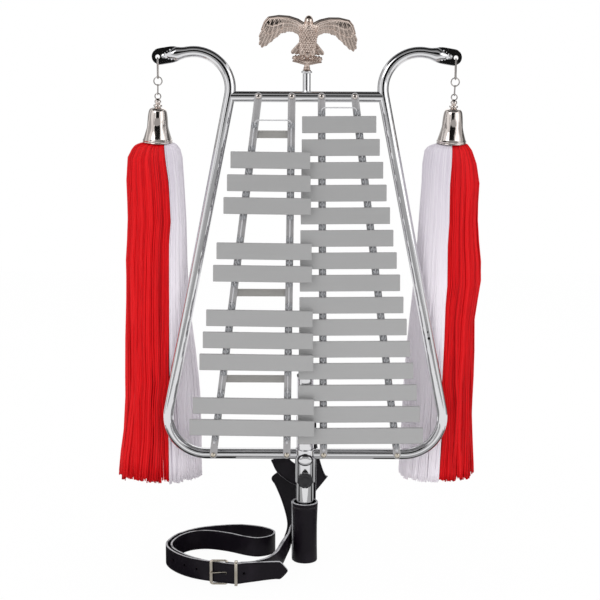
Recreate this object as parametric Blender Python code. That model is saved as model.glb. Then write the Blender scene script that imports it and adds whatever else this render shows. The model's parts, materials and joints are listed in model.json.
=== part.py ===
"""A marching bell lyra standing in its leather carrying cup.

Sizes in this script are millimetres, and every finished mesh is scaled to metres.
The origin is the middle of the cup's underside. +Z runs up the staff, -Y faces the
audience, so the bars are on the -Y side, and +X is the side of the long natural bars.
"""

import math

import bmesh
import bpy
from mathutils import Matrix, Vector

MM = 0.001
GAP = 0.3

# Bent tube frame
TUBE_R = 8.0
TUBE_BORE = 6.8
SIDE_LEAN = 0.2001
SIDE_X = 180.2
SIDE_Z = 420.0
BOTTOM_Z = 175.0
CORNER_CENTRE = (156.0, 235.0)
CORNER_R = 60.0
HORN_CENTRE = (171.0, 745.0)
HORN_R = 55.0
HORN_DROOP = 9.5
HORN_HOLE_AT = 46.3
HORN_HOLE_R = 3.5
CROSSBAR_Z = 733.0
CROSSBAR_HALF = 117.0
SIDE_HOLES_Z = (362.0, 372.0)

# Staff, sleeve, clamp and cup
STAFF_R = 13.5
STAFF_BORE = 12.0
STAFF_FOOT = 5.3
STAFF_TOP = 300.0
SLEEVE_R = 16.0
SLEEVE_BORE = 14.0
SLEEVE_FOOT = 129.5
SLEEVE_TOP = 183.5
CLAMP_Z = 138.5
CLAMP_SCREW_R = 3.0
KNOB_R = 12.0
KNOB_BACK = 18.3
KNOB_FRONT = 31.5
BOSS_Z = 169.0
CUP_R = 20.8
CUP_BORE = 17.5
CUP_TOP = 97.0
CUP_BASE = 5.0

# Rails: centre distance from the middle plane at the crossbar and at the bottom tube
RAIL_INNER = (22.5, 29.0)
RAIL_OUTER = (73.0, 145.0)
RAIL_WIDTH = 11.5
RAIL_BACK = -8.4
RAIL_FRONT = -10.9
STRUT_HEIGHT = 11.6
STRUT_FRONT = -8.1
STRUT_BACK = -5.9
STRUTS_Z = (676.0, 433.0, 297.0)
SCREW_HEAD_R = 4.2
SCREW_R = 1.7
SCREW_HOLE_R = 2.1

# Bars: index 0 is the top natural bar, and half indices are the accidentals between
BAR_TOP_Z = 691.0
BAR_PITCH = 34.45
BAR_WIDTH = 25.3
BAR_THICK = 6.0
BAR_EDGE = 0.6
NATURAL_Y = -18.0
ACCIDENTAL_Y = -30.0
NATURAL_TILT = 0.5
ACCIDENTAL_TILT = 0.6
NATURALS = 15
ACCIDENTALS = (1.5, 2.5, 3.5, 5.5, 6.5, 8.5, 9.5, 10.5, 12.5, 13.5)
ACCIDENTAL_DROP = 2.0
NATURAL_NOTES = "cbagfedcbagfedc"

# Cord and its posts
CORD_R = 1.0
CORD_HOLE_R = 1.6
POST_BASE_R = 5.2
POST_NECK_R = 3.6
POST_SLOT = 2.7
POST_SIDES = 6
NATURAL_POSTS = tuple(i - 0.5 for i in range(NATURALS + 1))
ACCIDENTAL_POSTS = tuple(range(NATURALS))

# Finial
POST_R = 6.0
POST_TOP = 768.0
COLLAR_R = 8.2
EAGLE_FOOT = 771.8
EAGLE_ROLL = 1.5

# Tassels: both hang from a link through the horn's hole and lean back on the side tube
HOOK_TOP = 790.2
HOOK_BOTTOM = 759.4
HOOK_HALF = 4.6
HOOK_WIRE = 1.1
RING_R = 6.2
RING_WIRE = 0.9
TASSEL_LEAN = 6.3
BELL_SIDE_LEAN = 1.75
TASSEL_DEPTH = 0.7
TASSEL_ROUND_R = 20.0

# Carrying straps, buckle and keeper
STRAP_WIDTH = 32.0
STRAP_THICK = 3.0
BUCKLE_WIRE = 1.6
BUCKLE_X = (-142.0, -118.0)
BUCKLE_Y = -109.25
BUCKLE_Z = (1.9, 38.1)
KEEPER_X = -104.0
KEEPER_Y = (-119.5, -108.3)
KEEPER_Z = (2.0, 38.0)
KEEPER_WIDTH = 4.5
KEEPER_THICK = 1.4

FINISHES = {
    "chrome": ((0.82, 0.82, 0.84), 0.07, 1.0),
    "nickel": ((0.75, 0.71, 0.67), 0.2, 1.0),
    "satin_aluminium": ((0.4, 0.4, 0.39), 0.5, 0.6),
    "rail_aluminium": ((0.5, 0.49, 0.47), 0.35, 0.9),
    "nylon": ((0.62, 0.62, 0.63), 0.4, 0.0),
    "black_plastic": ((0.03, 0.03, 0.035), 0.5, 0.0),
    "black_leather": ((0.02, 0.018, 0.022), 0.5, 0.0),
    "red_strands": ((0.66, 0.01, 0.02), 0.6, 0.0),
    "white_strands": ((0.72, 0.68, 0.8), 0.6, 0.0),
}


def material(name, finish):
    """A Principled material with one of the finishes above."""
    colour, roughness, metallic = FINISHES[finish]
    made = bpy.data.materials.new(f"{name}_{finish}")
    made.use_nodes = True
    shader = made.node_tree.nodes["Principled BSDF"]
    shader.inputs["Base Color"].default_value = (*colour, 1.0)
    shader.inputs["Roughness"].default_value = roughness
    shader.inputs["Metallic"].default_value = metallic
    made.diffuse_color = (*colour, 1.0)
    return made


def new_object(name, bm, pivot=(0, 0, 0), parent=None):
    """Turn a bmesh in millimetres into an object in metres whose origin is the pivot."""
    bmesh.ops.translate(bm, verts=bm.verts, vec=-Vector(pivot))
    bmesh.ops.scale(bm, verts=bm.verts, vec=(MM, MM, MM))
    mesh = bpy.data.meshes.new(name)
    bm.to_mesh(mesh)
    bm.free()
    mesh.shade_smooth()
    mesh.set_sharp_from_angle(angle=math.radians(35))
    made = bpy.data.objects.new(name, mesh)
    made.location = Vector(pivot) * MM
    bpy.context.scene.collection.objects.link(made)
    if parent:
        made.parent = parent
        made.location -= parent.location
    return made


def add_piece(name, bm, finish, pivot=(0, 0, 0), parent=None):
    """One visible sub-part with its own material."""
    made = new_object(name, bm, pivot, parent)
    made.data.materials.append(material(name, finish))
    return made


def add_helper(name, bm):
    """A cutter or a shape to unite, left out of the finished part."""
    made = new_object(name, bm)
    made.hide_render = True
    made.display_type = "WIRE"
    return made


def combine(piece, helper, operation="DIFFERENCE"):
    """Cut a helper from a piece, or unite it with the piece."""
    modifier = piece.modifiers.new(helper.name, "BOOLEAN")
    modifier.operation = operation
    modifier.solver = "EXACT"
    modifier.object = helper


def joint_point(name, at):
    """An empty on a joint's axis, which carries the pieces that move about it."""
    made = bpy.data.objects.new(name, None)
    made.location = Vector(at) * MM
    made.empty_display_size = 0.02
    bpy.context.scene.collection.objects.link(made)
    return made


def loft(rings, joined=False, bm=None):
    """Skin rings of equal count into a closed solid, capped at its ends or joined round."""
    bm = bm or bmesh.new()
    loops = [[bm.verts.new(p) for p in ring] for ring in rings]
    pairs = list(zip(loops, loops[1:]))
    if joined:
        pairs.append((loops[-1], loops[0]))
    faces = []
    for near, far in pairs:
        for i in range(len(near)):
            j = (i + 1) % len(near)
            faces.append(bm.faces.new((near[i], near[j], far[j], far[i])))
    if not joined:
        faces.append(bm.faces.new(loops[0]))
        faces.append(bm.faces.new(loops[-1]))
    bmesh.ops.recalc_face_normals(bm, faces=faces)
    return bm


def circle(radius, sides, start=0.0):
    """Points of a circle about the origin, as pairs."""
    angles = [start + math.tau * i / sides for i in range(sides)]
    return [(radius * math.cos(a), radius * math.sin(a)) for a in angles]


def lathe(profile, sides, place=None, joined=False, bm=None):
    """Turn (radius, height) pairs about +Z, then move the result with the place matrix."""
    place = place or Matrix()
    rings = []
    for radius, height in profile:
        rings.append([place @ Vector((x, y, height)) for x, y in circle(radius, sides)])
    return loft(rings, joined, bm)


def facing_front(x, z):
    """A matrix that lays the turning axis along -Y through the point (x, 0, z)."""
    return Matrix.Translation((x, 0, z)) @ Matrix.Rotation(math.radians(90), 4, "X")


def rod(x, z, radius, near, far, sides=8, bm=None):
    """A cylinder along -Y that spans the distances near to far in front of y = 0."""
    return lathe([(radius, near), (radius, far)], sides, facing_front(x, z), bm=bm)


def arc(centre, radius, start, end, steps):
    """Points on an arc in the frame's plane; angles in degrees from +X towards +Z."""
    points = []
    for i in range(steps + 1):
        a = math.radians(start + (end - start) * i / steps)
        points.append((centre[0] + radius * math.cos(a), centre[1] + radius * math.sin(a)))
    return points


def directions(points, joined=False):
    """Unit direction of a path at each of its points."""
    found = []
    count = len(points)
    for i, _ in enumerate(points):
        before = points[(i - 1) % count] if joined or i > 0 else points[0]
        after = points[(i + 1) % count] if joined or i < count - 1 else points[-1]
        found.append((after - before).normalized())
    return found


def tube(points, radius, sides, side_axis=(0, 1, 0), joined=False, bm=None):
    """A round tube along a path that lies square to side_axis; radius may vary by point."""
    points = [Vector(p) for p in points]
    axis = Vector(side_axis)
    radii = radius if isinstance(radius, (list, tuple)) else [radius] * len(points)
    rings = []
    for point, heading, r in zip(points, directions(points, joined), radii):
        across = heading.cross(axis).normalized()
        up = across.cross(heading)
        rings.append([point + up * a + across * b for a, b in circle(r, sides)])
    return loft(rings, joined, bm)


def block(low, high, bm=None):
    """A box between two corners."""
    rings = []
    for z in (low[2], high[2]):
        ring = [(low[0], low[1], z), (high[0], low[1], z)]
        ring += [(high[0], high[1], z), (low[0], high[1], z)]
        rings.append([Vector(p) for p in ring])
    return loft(rings, bm=bm)


def side_tube_x(z):
    """Distance of a side tube's centre line from the middle plane at a height."""
    return SIDE_X + SIDE_LEAN * (SIDE_Z - z)


def frame_line(side, start_x):
    """Centre line of one half of the frame, from the staff out to the end of the horn's bend."""
    lean = math.degrees(math.atan(SIDE_LEAN))
    flat = [(start_x, BOTTOM_Z)]
    flat += arc(CORNER_CENTRE, CORNER_R, -90, lean, 7)
    flat += arc(HORN_CENTRE, HORN_R, 180 + lean, 90 - HORN_DROOP, 8)
    return [Vector((side * x, 0, z)) for x, z in flat]


def horn_point(side, along):
    """A point on the straight end of a horn, measured from the end of its bend."""
    droop = math.radians(HORN_DROOP)
    end = frame_line(side, 0)[-1]
    return end + Vector((side * math.cos(droop), 0, -math.sin(droop))) * along


def horn_stations(side):
    """Stations of the flattened tip: point, half thickness, half height and squareness."""
    half_height = 12.5
    half_thick = 2.0
    shapes = [(3, TUBE_R, TUBE_R, 1.0), (13, 6.0, 9.6, 0.9), (22, 3.4, 11.6, 0.7)]
    shapes += [(29, half_thick, half_height, 0.5), (42.7, half_thick, half_height, 0.5)]
    for reach in (6.0, 9.6, 11.7, 12.4):
        height = math.sqrt(half_height**2 - reach**2)
        shapes.append((42.7 + reach, half_thick, height, 0.5))
    return [(horn_point(side, d), thick, height, square) for d, thick, height, square in shapes]


def squared(value, power):
    """Keep the sign of a cosine or sine while squaring up the section that it draws."""
    return math.copysign(abs(value) ** power, value)


def frame_outer(side):
    """Outside of one half of the frame, with its flattened tip, as a solid."""
    sides = 12
    line = frame_line(side, 8.0)
    stations = [(p, TUBE_R, TUBE_R, 1.0) for p in line] + horn_stations(side)
    points = [s[0] for s in stations]
    rings = []
    for (point, thick, height, square), heading in zip(stations, directions(points)):
        across = heading.cross(Vector((0, 1, 0))).normalized()
        ring = []
        for c, s in circle(1.0, sides):
            offset = Vector((0, 1, 0)) * thick * squared(c, square)
            ring.append(point + offset + across * height * squared(s, square))
        rings.append(ring)
    return loft(rings)


def rail_x(rail, z):
    """A rail's distance from the middle plane at a height."""
    share = (CROSSBAR_Z - z) / (CROSSBAR_Z - BOTTOM_Z)
    return rail[0] + (rail[1] - rail[0]) * share


def build_frame():
    """Two bent tubes, the crossbar between them and the sleeve that they meet."""
    sleeve_cut = lathe([(SLEEVE_R + GAP, 100), (SLEEVE_R + GAP, 250)], 24)
    sleeve_cut = add_helper("cut_sleeve", sleeve_cut)
    for side, name in ((1, "right"), (-1, "left")):
        half = add_piece(f"frame_tube_{name}", frame_outer(side), "chrome")
        bore_line = frame_line(side, 4.0) + [horn_point(side, 8.0)]
        bore = tube(bore_line, TUBE_BORE, 8)
        combine(half, add_helper(f"cut_bore_{name}", bore))
        combine(half, sleeve_cut)
        hole = horn_point(side, HORN_HOLE_AT)
        holes = rod(hole.x, hole.z, HORN_HOLE_R, -10, 10, 12)
        for rail in (RAIL_INNER, RAIL_OUTER):
            rod(side * rail[1], BOTTOM_Z, SCREW_HOLE_R, 5, 12, bm=holes)
        if side > 0:
            for z in SIDE_HOLES_Z:
                rod(side_tube_x(z), z, 1.4, 5, 12, 6, bm=holes)
        combine(half, add_helper(f"cut_holes_{name}", holes))

    ends = [(-CROSSBAR_HALF, 0, CROSSBAR_Z), (CROSSBAR_HALF, 0, CROSSBAR_Z)]
    crossbar = add_piece("crossbar", tube(ends, TUBE_R, 12), "chrome")
    bore_ends = [(-CROSSBAR_HALF - 2, 0, CROSSBAR_Z), (CROSSBAR_HALF + 2, 0, CROSSBAR_Z)]
    combine(crossbar, add_helper("cut_crossbar_bore", tube(bore_ends, TUBE_BORE, 8)))
    sides = bmesh.new()
    for side in (1, -1):
        low = (side * side_tube_x(690), 0, 690)
        high = (side * side_tube_x(780), 0, 780)
        tube([low, high], TUBE_R + GAP, 12, bm=sides)
    combine(crossbar, add_helper("cut_side_tubes", sides))
    screws = bmesh.new()
    for side in (1, -1):
        for rail in (RAIL_INNER, RAIL_OUTER):
            rod(side * rail[0], CROSSBAR_Z, SCREW_HOLE_R, 5, 12, bm=screws)
    combine(crossbar, add_helper("cut_crossbar_screws", screws))


def build_sleeve():
    """The chromed sleeve at the frame's foot, with the oval boss on its front."""
    edge = 0.6
    profile = [(SLEEVE_R - edge, SLEEVE_FOOT), (SLEEVE_R, SLEEVE_FOOT + edge)]
    profile += [(SLEEVE_R, SLEEVE_TOP - edge), (SLEEVE_R - edge, SLEEVE_TOP)]
    profile += [(SLEEVE_BORE, SLEEVE_TOP), (SLEEVE_BORE, SLEEVE_FOOT)]
    sleeve = add_piece("staff_sleeve", lathe(profile, 24, joined=True), "chrome")
    rings = []
    for front, size in ((9, 1.0), (18, 1.0), (20, 0.92), (21.6, 0.72), (22.4, 0.4)):
        ring = [Vector((x * 12.5 * size, -front, BOSS_Z + z * 9.3 * size)) for x, z in circle(1, 16)]
        rings.append(ring)
    boss = add_helper("sleeve_boss", loft(rings))
    bore = lathe([(SLEEVE_BORE + 1, SLEEVE_FOOT + 2), (SLEEVE_BORE + 1, SLEEVE_TOP - 2)], 24)
    combine(boss, add_helper("cut_boss_back", bore))
    combine(sleeve, boss, "UNION")
    hole = rod(0, CLAMP_Z, CLAMP_SCREW_R + GAP, 10, 20)
    combine(sleeve, add_helper("cut_clamp_hole", hole))


def build_staff():
    """The staff tube that the sleeve slides on, and the plug in its upper end."""
    profile = [(STAFF_R, STAFF_FOOT), (STAFF_R, STAFF_TOP)]
    profile += [(STAFF_BORE, STAFF_TOP), (STAFF_BORE, STAFF_FOOT)]
    add_piece("staff_tube", lathe(profile, 24, joined=True), "chrome")
    stem = STAFF_BORE - 0.5
    plug = [(stem, STAFF_TOP - 14), (stem, STAFF_TOP + GAP), (STAFF_R, STAFF_TOP + GAP)]
    plug += [(STAFF_R, STAFF_TOP + 2.4), (STAFF_R - 1.5, STAFF_TOP + 3.4)]
    add_piece("staff_end_plug", lathe(plug, 24), "black_plastic")


def build_clamp():
    """The fluted clamp knob with the screw moulded into it."""
    axis = (0, -KNOB_BACK, CLAMP_Z)
    carrier = joint_point("clamp_knob_turn", axis)
    rings = []
    for front, size in ((KNOB_BACK, 0.86), (20, 1.0), (29.5, 1.0), (KNOB_FRONT, 0.84)):
        ring = []
        for i, (x, z) in enumerate(circle(KNOB_R * size, 24)):
            flute = 0.9 if i % 2 else 1.0
            ring.append(Vector((x * flute, -front, CLAMP_Z + z * flute)))
        rings.append(ring)
    knob = add_piece("clamp_knob", loft(rings), "black_plastic", axis, carrier)
    screw = rod(0, CLAMP_Z, CLAMP_SCREW_R, STAFF_R + GAP, 24)
    combine(knob, add_helper("clamp_knob_screw", screw), "UNION")


def strip(start, end, width, back, front):
    """A flat bar with round ends between two (x, z) points, as its outline on each face."""
    a, b = Vector((start[0], 0, start[1])), Vector((end[0], 0, end[1]))
    heading = (b - a).normalized()
    angle = math.degrees(math.atan2(heading.z, heading.x))
    outline = arc((b.x, b.z), width / 2, angle - 90, angle + 90, 6)
    outline += arc((a.x, a.z), width / 2, angle + 90, angle + 270, 6)
    return [[Vector((x, y, z)) for x, z in outline] for y in (back, front)]


def build_rails():
    """Four flat rails with their screws and cord posts, and the struts behind the left pair."""
    for side, name, y, indices, drop in (
        (1, "natural", NATURAL_Y, NATURAL_POSTS, 0.0),
        (-1, "accidental", ACCIDENTAL_Y, ACCIDENTAL_POSTS, ACCIDENTAL_DROP),
    ):
        for place, rail in (("inner", RAIL_INNER), ("outer", RAIL_OUTER)):
            top, bottom = (side * rail[0], CROSSBAR_Z), (side * rail[1], BOTTOM_Z)
            strip_faces = loft(strip(top, bottom, RAIL_WIDTH, RAIL_BACK, RAIL_FRONT))
            made = add_piece(f"rail_{name}_{place}", strip_faces, "rail_aluminium")
            fittings = bmesh.new()
            for x, z in (top, bottom):
                head = -RAIL_FRONT
                shape = [(SCREW_R, 4.5), (SCREW_R, head - 1), (SCREW_HEAD_R, head - 1)]
                shape += [(SCREW_HEAD_R, head + 0.4), (3.2, head + 1.8), (1.4, head + 2.5)]
                lathe(shape, 8, facing_front(x, z), bm=fittings)
            add_posts(fittings, side, rail, y, [bar_height(i) - drop for i in indices])
            combine(made, add_helper(f"fittings_{name}_{place}", fittings), "UNION")
            slot = cord_slot(cord_line(side, rail, 730, 178, y))
            combine(made, add_helper(f"cut_slots_{name}_{place}", slot))
    for z, name in zip(STRUTS_Z, ("upper", "middle", "lower")):
        inner, outer = rail_x(RAIL_INNER, z) - 4, rail_x(RAIL_OUTER, z) + 4
        low = (-outer, STRUT_FRONT, z - STRUT_HEIGHT / 2)
        high = (-inner, STRUT_BACK, z + STRUT_HEIGHT / 2)
        add_piece(f"rail_strut_{name}", block(low, high), "rail_aluminium")


def add_posts(bm, side, rail, y, heights):
    """Cord posts along a rail: a broad foot and a neck that reaches past the bars' middle."""
    shoulder = -y - BAR_THICK / 2 - 0.4
    shape = [(POST_BASE_R, -RAIL_FRONT - 1), (POST_BASE_R, shoulder)]
    shape += [(POST_NECK_R, shoulder), (POST_NECK_R, -y + 2.4)]
    for z in heights:
        lathe(shape, POST_SIDES, facing_front(side * rail_x(rail, z), z), bm=bm)


def cord_slot(line):
    """A long box that opens the slot of every post on a rail towards the front."""
    rings = []
    for point in line:
        ring = []
        for dx, y in ((-1, 1.5), (1, 1.5), (1, -9), (-1, -9)):
            ring.append(point + Vector((dx * POST_SLOT / 2, y, 0)))
        rings.append(ring)
    return loft(rings)


def cord_line(side, rail, top, bottom, y):
    """The line of holes over one rail, as its lower and upper point."""
    return [Vector((side * rail_x(rail, z), y, z)) for z in (bottom, top)]


def bar_height(index):
    """Height of a bar's or post's centre; index counts the natural bars from the top."""
    return BAR_TOP_Z - BAR_PITCH * index


def note_names():
    """The notes from the top bar down, each as (index, name without its number)."""
    notes = [(float(i), NATURAL_NOTES[i]) for i in range(NATURALS)]
    for index in ACCIDENTALS:
        notes.append((index, NATURAL_NOTES[int(index + 0.5)] + "_sharp"))
    return sorted(notes, reverse=True)


def bar_span(index):
    """Left and right end of a bar."""
    if index == int(index):
        share = index / (NATURALS - 1)
        return -6.8 - 5.3 * share, 105.3 + 79.0 * share
    share = (index - ACCIDENTALS[0]) / (ACCIDENTALS[-1] - ACCIDENTALS[0])
    return -114.4 - 65.8 * share, 5.7 + 8.4 * share


def build_bars():
    """Twenty-five flat bars, numbered from the lowest note, each drilled for its two cords."""
    drills = {}
    for side, y in ((1, NATURAL_Y), (-1, ACCIDENTAL_Y)):
        drills[side] = []
        for label, rail in (("inner", RAIL_INNER), ("outer", RAIL_OUTER)):
            line = cord_line(side, rail, 720, 180, y)
            drill = tube(line, CORD_HOLE_R, 6)
            where = "natural" if side > 0 else "accidental"
            drills[side].append(add_helper(f"drill_{where}_{label}", drill))
    for number, (index, note) in enumerate(note_names(), start=1):
        natural = index == int(index)
        left, right = bar_span(index)
        drop = 0 if natural else ACCIDENTAL_DROP
        y = NATURAL_Y if natural else ACCIDENTAL_Y
        tilt = -NATURAL_TILT if natural else ACCIDENTAL_TILT
        half = Vector(((right - left) / 2, BAR_THICK / 2, BAR_WIDTH / 2))
        bar = add_piece(f"bar_{number:02d}_{note}", block(-half, half), "satin_aluminium")
        bar.location = Vector(((left + right) / 2, y, bar_height(index) - drop)) * MM
        bar.rotation_euler = (0, math.radians(tilt), 0)
        edge = bar.modifiers.new("edge", "BEVEL")
        edge.width = BAR_EDGE * MM
        edge.segments = 1
        for drill in drills[1 if natural else -1]:
            combine(bar, drill)


def build_cords():
    """The cord of each row of bars, from its lowest post up, across and down again."""
    add_cord("natural", 1, NATURAL_Y, NATURAL_POSTS, 0.0)
    add_cord("accidental", -1, ACCIDENTAL_Y, ACCIDENTAL_POSTS, ACCIDENTAL_DROP)


def add_cord(name, side, y, posts, drop):
    """One cord: up the inner rail, across above the top posts, and down the outer rail."""
    end = bar_height(posts[-1]) - drop - 8.5
    turn = bar_height(posts[0]) - drop + 8.0
    knot = ((0, 1.4), (1.2, 2.3), (3.2, 2.3), (4.4, CORD_R))
    legs = []
    for rail, inward in ((RAIL_INNER, 1), (RAIL_OUTER, -1)):
        leg = [(rail_x(rail, end + lift), end + lift, radius) for lift, radius in knot]
        leg.append((rail_x(rail, turn - 5), turn - 5, CORD_R))
        corner = rail_x(rail, turn)
        leg.append((corner + inward * 1.4, turn - 1.4, CORD_R))
        leg.append((corner + inward * 5, turn, CORD_R))
        legs.append(leg)
    route = legs[0] + legs[1][::-1]
    line = [(side * x, y, z) for x, z, _ in route]
    add_piece(f"bar_cord_{name}", tube(line, [r for _, _, r in route], 6), "nylon")


def build_finial():
    """The short collared post on the crossbar and the cast eagle."""
    shape = [(POST_R, 730), (POST_R, POST_TOP), (COLLAR_R, POST_TOP + 1)]
    shape += [(COLLAR_R, EAGLE_FOOT - 1), (COLLAR_R - 0.8, EAGLE_FOOT - GAP)]
    post = add_piece("finial_post", lathe(shape, 16), "chrome")
    under = tube([(-20, 0, CROSSBAR_Z), (20, 0, CROSSBAR_Z)], TUBE_R + GAP, 12)
    combine(post, add_helper("cut_post_foot", under))
    build_eagle()


def ellipse_stack(levels, sides=12):
    """Rings of (z, y, half width, half depth), for a body or a head."""
    rings = []
    for z, y, rx, ry in levels:
        rings.append([Vector((c * rx, y + s * ry, z)) for c, s in circle(1, sides)])
    return rings


def wing_rings(side):
    """Sections of a spread wing from its root to its drooping tip: x, top, bottom, thickness."""
    sections = (
        (6, 843, 820, 9.0),
        (14, 846, 822, 8.0),
        (22, 850, 826, 7.0),
        (32, 852.5, 827.5, 6.0),
        (42, 853, 822.5, 5.0),
        (51, 852, 815.5, 4.4),
        (58, 849.5, 809.5, 4.0),
        (63, 842.5, 806, 3.6),
        (68, 831, 804, 3.2),
        (72, 819, 804, 2.8),
        (74.3, 810, 805.5, 2.4),
    )
    rings = []
    for x, top, bottom, thick in sections:
        y = -1.0 - 6.0 * (x / 74.3) ** 2
        middle, quarter = (top + bottom) / 2, (top - bottom) / 4
        ring = [(0, top), (-0.5, middle + quarter), (-0.35, middle - quarter)]
        ring += [(0, bottom), (0.35, middle - quarter), (0.5, middle + quarter)]
        rings.append([Vector((side * x, y + share * thick, z)) for share, z in ring])
    return rings


def build_eagle():
    """The eagle: body, head with its beak, wings, tail fan, legs and perch as one casting."""
    neck = [(5.2, EAGLE_FOOT), (6.6, 775), (4.4, 780), (5.5, 785), (5.5, 791)]
    eagle = add_piece("eagle_finial", lathe(neck, 12), "nickel")
    body = [(798, 1, 7, 6), (804, 0, 11.5, 8.5), (812, -1, 11, 9), (820, -2, 12.5, 10)]
    body += [(829, -3, 12.5, 9.5), (837, -4, 8.5, 7.5), (842, -5, 5.5, 5.5)]
    head = [(837.5, -8, 2.5, 2.5), (840.5, -7.5, 5.6, 5.5), (845, -6.5, 6.8, 7)]
    head += [(850, -6, 5.8, 6), (853.2, -6, 2.6, 2.8)]
    beak = [(835.5, -13, 0.7, 0.8), (838.5, -13.2, 1.6, 2), (842, -11.5, 2.4, 3)]
    beak += [(846, -9.5, 2.4, 3.5)]
    tail = [(797, 8.5, 25.5, 1.6), (803, 7.5, 20, 1.8), (811, 6, 13, 2), (822, 4, 8, 2)]
    shapes = {"body": ellipse_stack(body), "head": ellipse_stack(head)}
    shapes["beak"] = ellipse_stack(beak, 8)
    shapes["tail"] = ellipse_stack(tail)
    for side, name in ((1, "right"), (-1, "left")):
        shapes[f"wing_{name}"] = wing_rings(side)
        leg = [(787, 5.2), (793, 5.6), (800, 4.2), (806, 4.6)]
        shapes[f"leg_{name}"] = [
            [Vector((side * 7.5 + x, y - 2, z)) for x, y in circle(r, 8)] for z, r in leg
        ]
    perch = []
    for x, r in ((-22.3, 3.6), (-18, 6), (-9, 5), (0, 5.4), (9, 5), (18, 6), (22.3, 3.6)):
        perch.append([Vector((x, y * 1.1, 788.5 + z)) for y, z in circle(r, 10)])
    shapes["perch"] = perch
    for name, rings in shapes.items():
        combine(eagle, add_helper(f"eagle_{name}", loft(rings)), "UNION")
    turn = Matrix.Rotation(math.radians(EAGLE_ROLL), 4, "Y")
    foot = Matrix.Translation((0, 0, EAGLE_FOOT * MM))
    for shape in [eagle] + [bpy.data.objects[f"eagle_{name}"] for name in shapes]:
        shape.matrix_world = foot @ turn @ foot.inverted()


def long_link(centre, half_width, half_length, wire, plane, bm=None):
    """A closed link with round ends; plane maps its across and along amounts to a point."""
    points = []
    for base, start in ((1, 0), (-1, 180)):
        for i in range(6):
            a = math.radians(start + 36 * i)
            across = half_width * math.cos(a)
            along = base * (half_length - half_width) + half_width * math.sin(a)
            points.append(plane(across, centre + along))
    side_axis = (points[1] - points[0]).cross(points[3] - points[1])
    return tube(points, wire, 6, side_axis.normalized(), True, bm)


def build_tassel(side, name, profile):
    """Hook, ring, link, bell and the two colours of strands on one horn."""
    hole = horn_point(side, HORN_HOLE_AT)
    swing = joint_point(f"{name}_hook_swing", hole)
    middle = (HOOK_TOP + HOOK_BOTTOM) / 2
    half = (HOOK_TOP - HOOK_BOTTOM) / 2

    def upright(across, along):
        return Vector((hole.x, across, along))

    hook = long_link(middle, HOOK_HALF, half, HOOK_WIRE, upright)
    add_piece(f"{name}_hook", hook, "nickel", hole, swing)

    pivot = Vector((hole.x, 0, HOOK_BOTTOM + HOOK_WIRE + RING_WIRE + GAP))
    lean = math.radians(TASSEL_LEAN)
    aside = math.radians(BELL_SIDE_LEAN)
    plumb = Vector((0, math.sin(lean), -math.cos(lean)))
    down = plumb * math.cos(aside) - Vector((math.sin(aside), 0, 0))
    back = Vector((0, math.cos(lean), math.sin(lean)))
    right = down.cross(back)
    carrier = joint_point(f"{name}_tassel_swing", pivot)

    def hang(x, y, s):
        return pivot + right * x + back * y + down * s

    ring = [hang(x, 0, RING_R + s) for x, s in circle(RING_R, 14)]
    chain = add_piece(f"{name}_tassel_chain", tube(ring, RING_WIRE, 6, back, True), "nickel",
                      pivot, carrier)
    link_top = 2 * RING_R - RING_WIRE - 0.4
    link_half = 7.8

    def leaning(out, along):
        return hang(0, out, along)

    link = long_link(link_top + link_half, 2.6, link_half, 0.8, leaning)
    combine(chain, add_helper(f"{name}_tassel_link", link), "UNION")

    eye_r = 4.4
    eye_top = link_top + 2 * link_half - 0.8 - RING_WIRE - GAP
    stem = eye_top + 2 * eye_r - 1.5
    shape = [(2.2, stem), (4.8, 36), (4.8, 39), (3, 40.5), (6.5, 41.5), (6.5, 44.5)]
    shape += [(4, 46), (10.4, 47.5), (13, 50.5), (14.4, 56), (15.4, 64), (17, 76), (19.6, 87)]
    shape += [(22.2, 95), (22.6, 99.3), (21.4, 99.3), (20.4, 95), (18, 87)]
    shape += [(15.4, 76), (13.8, 64), (4, 51)]
    rings = [[hang(x, y, s) for x, y in circle(r, 12)] for r, s in shape]
    bell = add_piece(f"{name}_bell", loft(rings), "nickel", pivot, carrier)
    eye = [hang(x, 0, eye_top + eye_r + s) for x, s in circle(eye_r, 12)]
    eye = add_helper(f"{name}_bell_eye", tube(eye, RING_WIRE, 6, back, True))
    combine(bell, eye, "UNION")

    def hang_plumb(x, y, s):
        return pivot + Vector((x, 0, 0)) + back * y + plumb * s

    for colour, outer in (("red", True), ("white", False)):
        rings = []
        for level in profile:
            s = (pivot.z - level[0]) / math.cos(lean)
            rings.append(strand_ring(side, level, outer, s, pivot, hang_plumb))
        add_piece(f"{name}_strands_{colour}", loft(rings), f"{colour}_strands", pivot, carrier)


def strand_ring(side, level, outer, s, pivot, hang):
    """One level of a tassel's half: an arc of its oval, closed by the flat where colours meet."""
    _, inner, edge, outmost = level
    centre, width = (inner + outmost) / 2, (outmost - inner) / 2
    count = 13
    limit = math.acos(max(-0.9, min(0.9, (edge - centre) / width)))
    start, end = (-limit, limit) if outer else (limit, math.tau - limit)
    middle = GAP / 2 if outer else -GAP / 2
    ring = []
    for i in range(count):
        a = start + (end - start) * i / (count - 1)
        ridge = 0.985 if i % 2 else 1.0
        x = centre + width * ridge * math.cos(a) + middle
        depth = max(width * TASSEL_DEPTH, min(width, TASSEL_ROUND_R))
        y = depth * ridge * math.sin(a)
        ring.append(hang(side * x - pivot.x, y, s))
    return ring


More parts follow.
